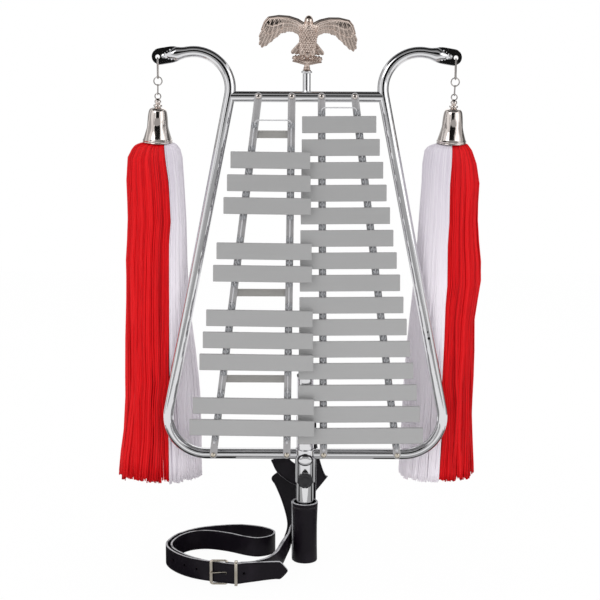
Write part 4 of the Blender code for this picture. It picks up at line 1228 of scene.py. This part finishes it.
# Rows of feathers on a wing: how many, from and to which share of the arm, the line of their
# tips, then length as a share, width, thickness and depth
WING_ROWS = (
    (9, 0.04, 0.62, SECONDARY_TIPS, 1.0, 7.0, 1.9, 0.0),
    (11, 0.56, 1.0, PRIMARY_TIPS, 1.0, 5.8, 1.8, -0.2),
    (9, 0.06, 0.64, SECONDARY_TIPS, 0.6, 6.2, 1.7, -1.3),
    (9, 0.6, 1.0, PRIMARY_TIPS, 0.56, 5.2, 1.7, -1.5),
    (9, 0.06, 0.66, SECONDARY_TIPS, 0.34, 5.6, 1.8, -2.4),
    (8, 0.62, 0.98, PRIMARY_TIPS, 0.3, 4.8, 1.7, -2.2),
)

# Lumps of the casting: middle, half sizes and tilt in the middle plane, then middle, half sizes
# and lean of those on the right, which have a mirror image
MIDDLE_LUMPS = (
    ((0, -3, 827), (11.4, 9, 13), 0), ((0, -1, 812), (10, 8.2, 12), 0),
    ((0, -5, 838), (6.2, 6.2, 7.5), 0), ((0, -6.8, 844.4), (6.8, 7.6, 9.0), 0),
    ((0, -0.6, 796.5), (6.4, 4.4, 7.0), 0), ((0, -13.4, 842.0), (2.0, 3.0, 2.8), 25),
    ((0, -15.3, 839.6), (1.1, 1.2, 2.6), 0),
)
SIDE_LUMPS = (
    ((8.6, -2, 837), (6.4, 6, 6.6), 0), ((3.3, -12.0, 847.6), (2.0, 1.6, 0.8), -14),
    ((3.4, -12.6, 846.2), (0.9, 0.7, 0.9), 0), ((7.4, -2, 800), (5.4, 5.6, 9.4), -6),
    ((8.4, -3.4, 791.6), (4.0, 4.2, 3.6), 0),
)
TOE_LEANS = (-14, -4, 8, 18)

# Branches of the perch, to the right: x, y, z and radius
BRANCHES = (
    ((0, -1, 785.4, 4.2), (6, -1.1, 785.8, 4.0), (12, -1.3, 787.4, 3.9), (18, -1.5, 789.4, 3.6),
     (22.6, -1.7, 790.6, 2.4)),
    ((0, -2.6, 781.6, 2.2), (7, -2.9, 782.6, 2.1), (14, -3.2, 784.2, 1.9),
     (22.2, -3.2, 785.2, 1.2)),
)
TAIL_HALF = 24.2
BREAST_ROWS = 13
BREAST_PITCH = 3.1
BREAST_SPREAD = 19

# Skin of the body: height, then y of its middle and its half sizes
BODY_LEVELS = ((798, 1, 7, 6), (804, 0, 11.2, 8.5), (812, -1, 10.6, 9), (820, -2, 11.8, 9.8),
               (829, -3, 12, 9.3), (837, -4, 8.3, 7.4), (842, -5, 5.6, 5.6))


def eagle_wing(blade, side):
    """A spread wing: its rounded arm, and three layers of feathers that hang from it."""
    parts = []
    for count, first, last, tips, length, width, thick, y in WING_ROWS:
        for i in range(count):
            share = i / (count - 1)
            root = between(WING_ARM, first + (last - first) * share)
            tip = root.lerp(between(tips, share), length * (1 - 0.045 * (i % 2)))
            step = 0.28 * (i % 2)
            root, tip = root + Vector((0, y + step, -0.6)), tip + Vector((0, y + step, 0))
            root.x, tip.x = side * root.x, side * tip.x
            parts.append(feathered(blade, root, tip, width, thick))
    shares = [i / 30 for i in range(31)]
    points = [between(WING_EDGE, share) for share in shares]
    points = [(side * p.x, p.y - 1.5, p.z + 0.4) for p in points]
    thickness = [3.9 - 2.6 * share ** 1.3 for share in shares]
    parts.append(wire("wing_arm", [points], 1.0, radii=thickness, resolution=4))
    return parts


def eagle_body(blade):
    """Breast, neck, head, legs, tail and perch of the casting."""
    parts = [lump(at, half, tilt) for at, half, tilt in MIDDLE_LUMPS]
    for side in (1, -1):
        for (x, y, z), half, lean in SIDE_LUMPS:
            parts.append(lump((side * x, y, z), half, 0, side * lean))
        for i, lean in enumerate(TOE_LEANS):
            x = side * (5.6 + 3.9 * i)
            parts.append(lump((x, -5.8, 791.6), (1.8, 3.0, 3.0), 30, side * lean))
            parts.append(lump((x, -7.6, 787.2), (1.0, 1.1, 2.9), -12, side * lean))
        for branch in BRANCHES:
            points = [(side * x, y, z) for x, y, z, _ in branch]
            radii = [radius for _, _, _, radius in branch]
            parts.append(wire("branch", [points], 1.0, radii=radii, resolution=4))
    for count, y, reach, width in ((9, 6.6, 1.0, 7.0), (8, 5.4, 0.66, 6.0)):
        for i in range(count):
            across = (2 * i / (count - 1) - 1) * TAIL_HALF
            tip = Vector((across, y + 0.9, 796.6 - 1.6 * (1 - (across / TAIL_HALF) ** 2)))
            root = Vector((across * 0.16, y - 1.4, 822))
            parts.append(feathered(blade, root, root.lerp(tip, reach), width, 2.0 + 0.3 * (i % 2)))
    for row in range(BREAST_ROWS):
        z = 838.5 - row * BREAST_PITCH
        levels = [level for level in BODY_LEVELS if level[0] <= z]
        low = levels[-1] if levels else BODY_LEVELS[0]
        high = BODY_LEVELS[min(len(BODY_LEVELS) - 1, BODY_LEVELS.index(low) + 1)]
        share = 0.0 if high == low else max(0.0, (z - low[0]) / (high[0] - low[0]))
        y, rx, ry = (low[i] + (high[i] - low[i]) * share for i in (1, 2, 3))
        for i in range(9 + row % 2):
            a = math.radians((i - (8 + row % 2) / 2) * BREAST_SPREAD)
            out = Vector((math.sin(a), -math.cos(a), 0))
            root = Vector((rx * out.x, y + ry * out.y, z + 1.8)) + out * 0.1
            tip = Vector((rx * out.x, y + ry * out.y, z - 2.9)) + out * 0.9
            parts.append(feathered(blade, root, tip, 3.9, 1.5))
    stem = [(6.4, EAGLE_FOOT), (6.6, EAGLE_FOOT + 0.9), (4.7, 773.6), (5.3, 775.4), (4.4, 777.4),
            (4.0, 779.4), (5.0, 782.4), (6.4, 786)]
    parts.append(turned("stem", stem, 32))
    return parts


def mark_hollows(piece):
    """Store how far each point lies under a smoothed copy of the skin: 0.5 is level, 1 is deep."""
    twin = copied(piece, "smooth_copy", Matrix())
    smooth = twin.modifiers.new("smooth", "SMOOTH")
    smooth.factor = 0.8
    smooth.iterations = 9
    apply_modifiers(twin)
    values = []
    for vertex, level in zip(piece.data.vertices, twin.data.vertices):
        depth = (level.co - vertex.co).dot(vertex.normal)
        values.append(0.5 + max(-0.5, min(0.5, depth * 1.6)))
    bpy.data.objects.remove(twin)
    # The finish paints the deep points darker, as shade.
    store(piece, "hollow", values)


def mark_polish(piece):
    """Store where the casting is polished and its colour painted darker as a reflection: along the
    upper side of each wing's arm.
    """
    values = []
    for vertex in piece.data.vertices:
        across, height = abs(vertex.co.x), vertex.co.z
        level = WING_ARM[-1][2]
        for (x0, _, z0), (x1, _, z1) in zip(WING_ARM, WING_ARM[1:]):
            if x0 <= across < x1:
                level = z0 + (z1 - z0) * (across - x0) / (x1 - x0)
        along = smoothstep(across, 10, 15) * (1 - smoothstep(across, 50, 60))
        near = smoothstep(height, level - 3.4, level - 1.2)
        values.append(along * near * smoothstep(vertex.normal.z, -0.15, 0.2))
    store(piece, "polish_and_dark_reflection", values)


def eagle():
    """The cast eagle: its shapes flow into one skin, then lose a little of their sharpness."""
    blade = feather_blade()
    parts = eagle_body(blade)
    for side in (1, -1):
        parts += eagle_wing(blade, side)
    bpy.data.objects.remove(blade)
    bird = joined("eagle_casting", parts)
    remesh = bird.modifiers.new("skin", "REMESH")
    remesh.mode = "VOXEL"
    remesh.voxel_size = EAGLE_GRAIN
    soften = bird.modifiers.new("soften", "SMOOTH")
    soften.factor = 0.4
    soften.iterations = 2
    apply_modifiers(bird)
    mark_hollows(bird)
    mark_polish(bird)
    foot = Matrix.Translation((0, 0, EAGLE_FOOT))
    moved(bird, foot @ rotation(EAGLE_ROLL, "Y") @ foot.inverted())
    settle(bird, NICKEL_CAST, "frame", "nickel", "eagle_finial", smooth=80)


# Cut section of a strap: shares of its half width and of its half thickness
STRAP_SECTION = (
    (-1.0, 0.5), (-0.975, 0.92), (-0.95, 1.0), (-0.875, 1.0), (-0.85, 0.7), (-0.825, 1.0), (0.0, 1.0),
    (0.825, 1.0), (0.85, 0.7), (0.875, 1.0), (0.95, 1.0), (0.975, 0.92), (1.0, 0.5),
)
ROUND_SECTION = ((-1.0, 0.25), (-0.82, 0.7), (-0.4, 1.0), (0.4, 1.0), (0.82, 0.7), (1.0, 0.25))
FLAT_SECTION = ((-1.0, 0.4), (-0.92, 0.85), (-0.78, 1.0), (0.78, 1.0), (0.92, 0.85), (1.0, 0.4))
EDGE_FROM = 0.96

# Straps: half width, thickness, and height of the middle where one stands on edge on the floor
STRAP_HALF = 16.0
STRAP_THICK = 3.0
LOW = 16.3

# The long strap on edge, from behind its tip through the buckle and twice round: x, y, z
STRAP_LOOP = (
    (-104, -116.4, 20), (-119, -112.9, 20), (-141, -105.6, 20), (-158, -95.5, 18.5),
    (-176, -82, 17), (-195, -64, LOW), (-211.5, -41, LOW), (-219.5, -16, LOW), (-215, 11, LOW),
    (-202, 36, LOW), (-176, 60, LOW), (-145, 72, LOW), (-109, 78, LOW), (-74, 69, LOW),
    (-54, 53, LOW), (-49.5, 37, LOW), (-57, 21, LOW), (-75, 12, LOW), (-95, 18, LOW),
    (-125, 36, LOW), (-158, 47, LOW), (-183, 42, LOW), (-200, 25, LOW), (-209.5, 2, LOW),
    (-211.5, -18, LOW), (-205.5, -39, LOW), (-190, -60, LOW), (-171, -78.5, 16.6),
    (-155, -90.5, 17), (-140, -99, 17), (-128, -103, 17), (-117, -104.6, 17),
    (-104, -105, 17), (-95, -103.6, 17), (-83, -99.4, 17), (-72, -91.6, 16.6),
    (-59, -78.6, LOW), (-49, -61, LOW), (-43, -41, 16.6), (-38.5, -20, 18),
)

# Its end in front of the buckle leans a little: x, y, z, then half the width as a vector
STRAP_END = (
    (-38.6, -94.4, 17.6, 0, -4, 15.5), (-46, -94.0, 17.6, 0, -4, 15.5),
    (-60, -98.6, 18.2, 0, -3, 15.7), (-75, -105.2, 19.2, 0, -1.5, 15.9),
    (-92, -112.2, 20, 0, 0, 16),
)
STRAP_TIP = ((12.4, 0.03), (11.2, 0.17), (9.0, 0.38), (6.4, 0.60), (3.4, 0.83), (1.2, 0.95))

# Where it leaves the floor, is folded behind the staff and runs down the cup's back
STRAP_FOLD = (
    (-35, 0, 20, 2, 0, 15.9), (-29.5, 16, 26, 6, 0.5, 14.8), (-22, 29, 37, 11, 0, 11.6),
    (-14, 35, 55, 14.5, 0, 6.8), (-21, 43, 84, 15, 0, 5.6), (-33, 53, 111, 15, 0, 5.4),
    (-38.6, 56, 119, 15.2, 0, 5), (-39.8, 57.5, 124.8, 14.6, 0, 5.6),
    (-38.2, 58.4, 130, 12.2, 0, 6.4), (-35.6, 58.4, 136, 9.6, 0, 7.6),
    (-36.6, 57.2, 144, 10.4, 0, 7), (-40, 55, 150.4, 13, 0, 4.6), (-41, 52.4, 152.6, 14.2, 0, 4.2),
    (-39.2, 50, 149, 13.6, 0, 5), (-33, 48.2, 139.2, 11.6, 0, 9.6), (-18, 47.5, 128.5, 7, 0, 14.4),
    (2, 47, 119, 6.2, 0, 14.8), (16, 46.6, 113, 8.4, 0, 15.4),
    (22.8, 44.4, 110.5, 12.2, 0, 15.8), (23.6, 40.6, 111.5, 12.6, 0, 15.6),
    (19.6, 37.6, 118, 13.8, 0, 11), (14, 36.6, 133, 14.8, 0, 6.6),
    (8, 36.2, 154, 15, 0, 5.4), (3.4, 35.8, 182, 15.9, 0, 1.6), (1.8, 35, 208, 16, 0, 0),
    (1.8, 33, 222, 16, 0, 0), (1.8, 29, 227.5, 16, 0, 0), (1.8, 25, 222, 16, 0, 0),
    (2, 23.4, 208, 16, 0, 0), (2.2, 23.2, 150, 16, 0, 0), (1.6, 23.2, 95, 16, 0, 0),
    (0.6, 23.2, 50, 16, 0, 0), (0, 23.2, 12, 16, 0, 0),
)

# The short strap from the buckle's bar to where it is sewn on the cup's left side
SHORT_STRAP = (
    (-115.6, -109.2, 20, 0, 0, 16), (-110, -110.6, 20, 0, 0, 16), (-104, -112.4, 20, 0, 0, 16),
    (-95, -108.4, 20, 0, 0, 16), (-83, -103.7, 19, 0, 0, 16), (-70, -95, 18, 0, 0, 16),
    (-56, -81, 17.5, 0, 0, 16), (-44.5, -60, 18, 0, 0, 16), (-37, -38, 21, -1, -2, 15.8),
    (-30.5, -18, 27, -1, -5, 15.2), (-25, -4, 33.5, -0.5, -5.5, 15),
    (-23, 6, 38, 0, -3, 15.7), (-18, 14.8, 41, 0, -1, 16),
)

# Punched holes: a place, and the strap's heading there in degrees
STRAP_HOLES = ((-203.5, -53, 18, -50), (-184.5, -74.5, 18, -42), (-165, -91, 18, -35),
               (-92.6, -112.6, 19.5, 20))
PUNCH_R = 2.1
PRONG_SLOT = ((-126.95, -109.4, 20), (17.1, 15.2, 3.6))

# Carrying cup: profiles of its wall and foot, its lapped edge and the seam along it
CUP_WALL = (
    (17.5, 1.0), (18.4, 0.2), (19.4, 0.4), (19.9, 1.6), (19.8, 6.0), (19.45, 24.0), (19.3, 44.0),
    (19.4, 60.0), (19.8, 76.0), (20.3, 87.0), (20.4, 89.6), (20.05, 90.3), (20.05, 90.7),
    (20.45, 91.4), (20.75, 95.0), (20.7, 96.2), (20.3, 96.9), (18.1, 96.9), (17.6, 96.4),
    (17.5, 95.0),
)
CUP_FOOT = ((17.2, 0.0), (17.2, 4.2), (16.4, 5.0), (9.0, 4.7), (1.0, 4.5))
FLAP_MIDDLE = 48.7
FLAP_HALF = 47.9
FLAP_FLARE = 0.55
FLAP_THICK = 1.7
FLAP_FROM = 196
CUP_EDGE_FROM = 94.8
BACK_SEAMS = (-11.9, 12.5)
SEAM_AT = 190

# Buckle and keeper
BUCKLE_X = (-142.0, -118.0)
BUCKLE_Y = -109.25
BUCKLE_Z = (1.9, 38.1)
BUCKLE_WIRE = 1.6
KEEPER_X = -104.0
KEEPER_Y = (-119.5, -108.3)
KEEPER_Z = (2.0, 38.0)
KEEPER_HALF = 2.25
KEEPER_THICK = 1.4


def curved(stations, steps):
    """Smooth rows (centre, half width) on a curve through a strap's stations."""
    last = len(stations) - 1
    rows = []
    for i in range(last):
        four = [stations[max(0, min(last, k))] for k in (i - 1, i, i + 1, i + 2)]
        for step in range(steps):
            t = step / steps
            row = [0.5 * (2 * b + (c - a) * t + (2 * a - 5 * b + 4 * c - d) * t**2
                          + (3 * b - a - 3 * c + d) * t**3) for a, b, c, d in zip(*four)]
            rows.append((Vector(row[:3]), Vector(row[3:])))
    rows.append((Vector(stations[last][:3]), Vector(stations[last][3:])))
    return rows


def ribbon(name, rows, thick, section, looks, closed=False):
    """A flat piece that follows rows of (centre, half width), its cut edges in the second look."""
    outline = list(section) + [(u, -w) for u, w in reversed(section)]
    count, last = len(outline), len(rows) - 1
    vertices, faces, cut_edges = [], [], []
    for i, (centre, half) in enumerate(rows):
        after = rows[(i + 1) % len(rows) if closed else min(i + 1, last)][0]
        before = rows[i - 1 if closed else max(i - 1, 0)][0]
        face = (after - before).cross(half).normalized() * thick / 2
        vertices += [centre + half * u + face * w for u, w in outline]
    for i in range(len(rows) if closed else last):
        j = (i + 1) % len(rows)
        for k in range(count):
            m = (k + 1) % count
            faces.append((i * count + k, i * count + m, j * count + m, j * count + k))
            cut_edges.append(min(abs(outline[k][0]), abs(outline[m][0])) > EDGE_FROM)
    if not closed:
        faces += [tuple(range(count))[::-1], tuple(last * count + k for k in range(count))]
        cut_edges += [True, True]
    return skinned(name, vertices, faces, looks, cut_edges)


def long_strap():
    """The punched strap: pointed end, buckle, two turns on the floor, fold and run to the cup."""
    loop = [(*point, 0, 0, STRAP_HALF) for point in STRAP_LOOP]
    rows = curved([*STRAP_END, *loop, STRAP_FOLD[0]], 4)[:-1] + curved(STRAP_FOLD, 6)
    end, half = rows[0]
    tip = [(end + Vector((reach, -0.02 * reach, -0.04 * reach)), half * share)
           for reach, share in STRAP_TIP]
    strap = ribbon("long_strap_leather", tip + rows, STRAP_THICK, STRAP_SECTION, (LEATHER, EDGE))
    for x, y, z, heading in STRAP_HOLES:
        punch = turned("punch", [(PUNCH_R, -3.0), (PUNCH_R, 3.0)], 16)
        turn = rotation(heading, "Z") @ rotation(90, "X")
        cut(strap, moved(punch, Matrix.Translation((x, y, z)) @ turn))
    cut_box(strap, *PRONG_SLOT)
    settle(strap, None, "harness", "black_leather", "long_strap", smooth=40)


def short_strap():
    """The short strap that holds the buckle, sewn on the cup's side."""
    rows = curved(SHORT_STRAP, 6)
    strap = ribbon("short_strap_leather", rows, STRAP_THICK, STRAP_SECTION, (LEATHER, EDGE))
    settle(strap, None, "harness", "black_leather", "buckle_strap", smooth=40)


def rounded_rectangle(first, second, corner, steps=6):
    """Points (a, b) round a rectangle with round corners, each with its outward direction."""
    (a0, a1), (b0, b1) = first, second
    centres = ((a1 - corner, b1 - corner), (a0 + corner, b1 - corner),
               (a0 + corner, b0 + corner), (a1 - corner, b0 + corner))
    found = []
    for quarter, (a, b) in enumerate(centres):
        for i in range(steps + 1):
            turn = math.radians(90 * (quarter + i / steps))
            out = (math.cos(turn), math.sin(turn))
            found.append((a + corner * out[0], b + corner * out[1], out))
    return found


def buckle_and_keeper():
    """The nickel buckle with its prong, and the keeper that holds the strap's end."""
    rows = []
    for x, z, out in rounded_rectangle(BUCKLE_X, BUCKLE_Z, 3.4):
        half = BUCKLE_WIRE + 0.8 * abs(out[0]) ** 2
        rows.append((Vector((x, BUCKLE_Y, z)), Vector((out[0], 0, out[1])) * half))
    buckle = ribbon("buckle", rows, 2 * BUCKLE_WIRE, ROUND_SECTION, (BRASSY,), closed=True)
    settle(buckle, None, "harness", "nickel", "buckle_frame", smooth=50)

    bar = BUCKLE_WIRE + 0.3
    points = [(BUCKLE_X[1] - bar, BUCKLE_Y, 20), (-127, -110.0, 20), (-133, -110.9, 20),
              (-138, -111.8, 20), (-142, BUCKLE_Y - bar - 1.1, 20),
              (-144.2, BUCKLE_Y - bar - 1.2, 20)]
    prong = wire("prong", [points], 1.0, radii=[1.2, 1.15, 1.15, 1.1, 1.05, 0.75])
    settle(prong, BRASSY, "prong", "nickel", "buckle_prong", smooth=50)

    rows = []
    for y, z, _ in rounded_rectangle(KEEPER_Y, KEEPER_Z, 1.6, 4):
        rows.append((Vector((KEEPER_X, y, z)), Vector((KEEPER_HALF, 0, 0))))
    keeper = ribbon("keeper", rows, KEEPER_THICK, FLAT_SECTION, (BRASSY,), closed=True)
    settle(keeper, None, "harness", "nickel", "strap_keeper", smooth=50)


def stitches(name, places):
    """Small raised stitches, each at a point and along a direction."""
    stitch = begin("stitch", "uv_sphere", segments=6, ring_count=5, radius=1.0)
    close_up()
    moved(stitch, Matrix.Diagonal((1.7, 0.42, 0.42, 1)))
    row = []
    for at, along in places:
        turn = Vector(along).to_track_quat("X", "Z").to_matrix().to_4x4()
        row.append(copied(stitch, "stitch", Matrix.Translation(at) @ turn))
    bpy.data.objects.remove(stitch)
    settle(joined(name, row), THREAD, "harness", "black_leather", smooth=60)


def leather_cup():
    """The carrying cup: a rolled wall lapped on its left, a stitched rim and a closed foot."""
    cup = turned("cup_wall", [*CUP_WALL, CUP_WALL[0]], 72)
    cup.data.materials.append(LEATHER)
    cup.data.materials.append(EDGE)
    for polygon in cup.data.polygons:
        polygon.material_index = int(polygon.center.z > CUP_EDGE_FROM)
    rows = []
    for i in range(19):
        a = math.radians(FLAP_FROM - i * 4.5)
        out = Vector((math.cos(a), math.sin(a), 0))
        radius = 20.55 - 1.6 * smoothstep(i, 12, 18)
        middle = out * radius + Vector((0, 0, FLAP_MIDDLE))
        rows.append((middle, out * FLAP_FLARE + Vector((0, 0, FLAP_HALF))))
    flap = ribbon("cup_flap", rows, FLAP_THICK, STRAP_SECTION, (LEATHER, EDGE))
    cup = joined("leather_cup_wall", [cup, flap])
    settle(cup, None, "harness", "black_leather", "leather_cup", smooth=40)

    foot = turned("cup_foot", CUP_FOOT, 48)
    settle(foot, LEATHER, "harness", "black_leather", "cup_base", smooth=40)

    places = []
    a = math.radians(SEAM_AT)
    for i in range(19):
        z = 5 + i * 4.8
        radius = 21.35 + FLAP_FLARE * (z - FLAP_MIDDLE) / FLAP_HALF
        places.append(((radius * math.cos(a), radius * math.sin(a), z), (0, 0, 1)))
    for i in range(27):
        a = math.radians(SEAM_AT + 4 + i * 10.4)
        places.append(((20.1 * math.cos(a), 20.1 * math.sin(a), 90.5), (-math.sin(a), math.cos(a), 0)))
    for x in BACK_SEAMS:
        places += [((x, 24.75, 14 + i * 5), (0, 0, 1)) for i in range(16)]
    stitches("cup_stitches", places)


# Soft lamps: name, place, what they are turned to, size and power
LAMPS = (
    ("key", (-1.3, -1.7, 1.9), (0, 0, 0.45), 1.1, 7.0),
    ("fill", (1.7, -1.5, 1.2), (0, 0, 0.4), 1.3, 5.0),
    ("back", (0.2, 1.9, 1.7), (0, 0, 0.5), 1.5, 6.0),
)

# Panels that only reflections see: name, place, size and shade
FLAGS = (
    ("behind_camera", (0, -2.0, 1.22), (1.5, 1.14), 0.01),
    ("front_low", (0, -3.0, 0.34), (3.46, 0.68), 0.45),
    ("front_high", (0, -3.0, 2.4), (3.46, 1.8), 0.62),
    ("ceiling_front", (0, -1.95, 3.0), (5.0, 1.3), 0.25),
    ("ceiling_dark", (0, -0.3, 3.0), (5.0, 2.0), 0.02),
    ("ceiling_back", (0, 1.7, 3.0), (5.0, 2.0), 0.4),
    ("stand_right", (2.35, -2.9, 0.9), (0.4, 2.6), 0.22),
    ("side_right", (1.6, 0.0, 0.7), (0.56, 2.2), 0.5),
    ("stand_left", (-2.35, -2.9, 0.9), (0.4, 2.6), 0.22),
    ("side_left", (-1.6, 0.0, 0.7), (0.56, 2.2), 0.5),
    ("back_wall", (0, 2.6, 0.8), (5.6, 2.6), 0.45),
    ("left_back", (-1.25, 0.95, 0.6), (0.9, 2.2), 0.35),
    ("right_back", (1.25, 0.7, 0.6), (0.9, 2.2), 0.12),
    ("room_floor", (0, -3.2, 0.0), (5.0, 3.4), 0.4),
    ("floor_under", (0, 0.1, 0.0), (1.2, 0.8), 0.45),
    ("floor_left", (-0.42, -0.02, 0.001), (0.6, 0.16), 0.02),
    ("floor_right", (0.42, 0.05, 0.001), (0.6, 0.16), 0.02),
)
FLAGS_FACE = Vector((0, 0, 0.5))
FLAGS_FLAT_TO = 0.1
FLOOR_SIZE = 8
FLOOR_Z = -0.0015


def studio():
    """White surroundings, a floor that keeps the shadow, soft lamps and the camera."""
    scene = bpy.context.scene
    scene.view_settings.view_transform = "Standard"
    world = bpy.data.worlds.new("studio")
    scene.world = world
    world.use_nodes = True
    sky = Tree(world.node_tree)
    background = sky.nodes["Background"]
    sky.feed(background.inputs["Color"], (1, 1, 1, 1))
    seen = sky.seen_by("Is Camera Ray", "Is Glossy Ray", "Is Transmission Ray")
    strength = sky.node("ShaderNodeMapRange", None, {"Value": seen, "To Min": 1.0, "To Max": 1.0})
    sky.feed(background.inputs["Strength"], strength)

    bpy.ops.mesh.primitive_plane_add(size=FLOOR_SIZE, location=(0, 0, FLOOR_Z))
    floor = bpy.context.object
    floor.name = "studio_floor"
    floor.data.materials.append(floor_white())

    for lamp in LAMPS:
        add_lamp(*lamp)
    for flag in FLAGS:
        add_flag(*flag)

    data = bpy.data.cameras.new("photo_camera")
    data.lens = CAMERA_LENS
    data.sensor_width = SENSOR_WIDTH
    camera = linked("photo_camera", data)
    turn = rotation(CAMERA_PITCH, "X") @ rotation(CAMERA_ROLL, "Z")
    camera.matrix_world = Matrix.Translation(CAMERA_AT) @ turn
    scene.camera = camera


def floor_white():
    """White to the camera and in reflections, with the object's shadow still on it."""
    look = Look("floor_white", (0.9, 0.9, 0.9), 0.9)
    surface = look.node("ShaderNodeMixShader", None, {
        "Fac": look.seen_by("Is Camera Ray", "Is Glossy Ray") * 0.96,
        1: Wire(look, look.shader.outputs[0]),
        2: look.node("ShaderNodeEmission"),
    })
    look.feed(look.nodes["Material Output"].inputs["Surface"], surface)
    return look.material


def add_lamp(name, at, towards, size, power):
    data = bpy.data.lights.new(name, "AREA")
    data.shape = "SQUARE"
    data.size = size
    data.energy = power
    lamp = linked(name, data)
    lamp.location = at
    aim = Vector(towards) - Vector(at)
    lamp.rotation_euler = aim.to_track_quat("-Z", "Y").to_euler()


def add_flag(name, at, size, shade):
    """A panel that only reflections see, flat on the floor or facing the lyra's middle."""
    bpy.ops.mesh.primitive_plane_add(size=1, location=at)
    flag = bpy.context.object
    flag.name = f"flag_{name}"
    flag.scale = (*size, 1)
    if at[2] > FLAGS_FLAT_TO:
        flag.rotation_euler = (FLAGS_FACE - Vector(at)).to_track_quat("Z", "Y").to_euler()
    dark = bpy.data.materials.new(f"flag_{name}")
    dark.use_nodes = True
    tree = Tree(dark.node_tree)
    glow = tree.node("ShaderNodeEmission", None, {"Color": (shade, shade, shade, 1)})
    tree.feed(tree.nodes["Material Output"].inputs["Surface"], glow)
    flag.data.materials.append(dark)
    flag.visible_camera = False
    flag.visible_diffuse = False
    flag.visible_shadow = False
    flag.visible_transmission = False


studio()
dress_nodes()
for side, name in ((1, "right"), (-1, "left")):
    bent_tube(side, name)
    hanging_wires(side, name)
    bell_cap(side, name)
crossbar()
staff_parts()
clamp_knob()
finial_post()
eagle()
rails()
bar_cords()
leather_cup()
short_strap()
long_strap()
buckle_and_keeper()
for side, name, levels in ((1, "right", RIGHT_LEVELS), (-1, "left", LEFT_LEVELS)):
    tassel_half(side, name, levels, "red", 11 + side)
    tassel_half(side, name, levels, "white", 23 + side)
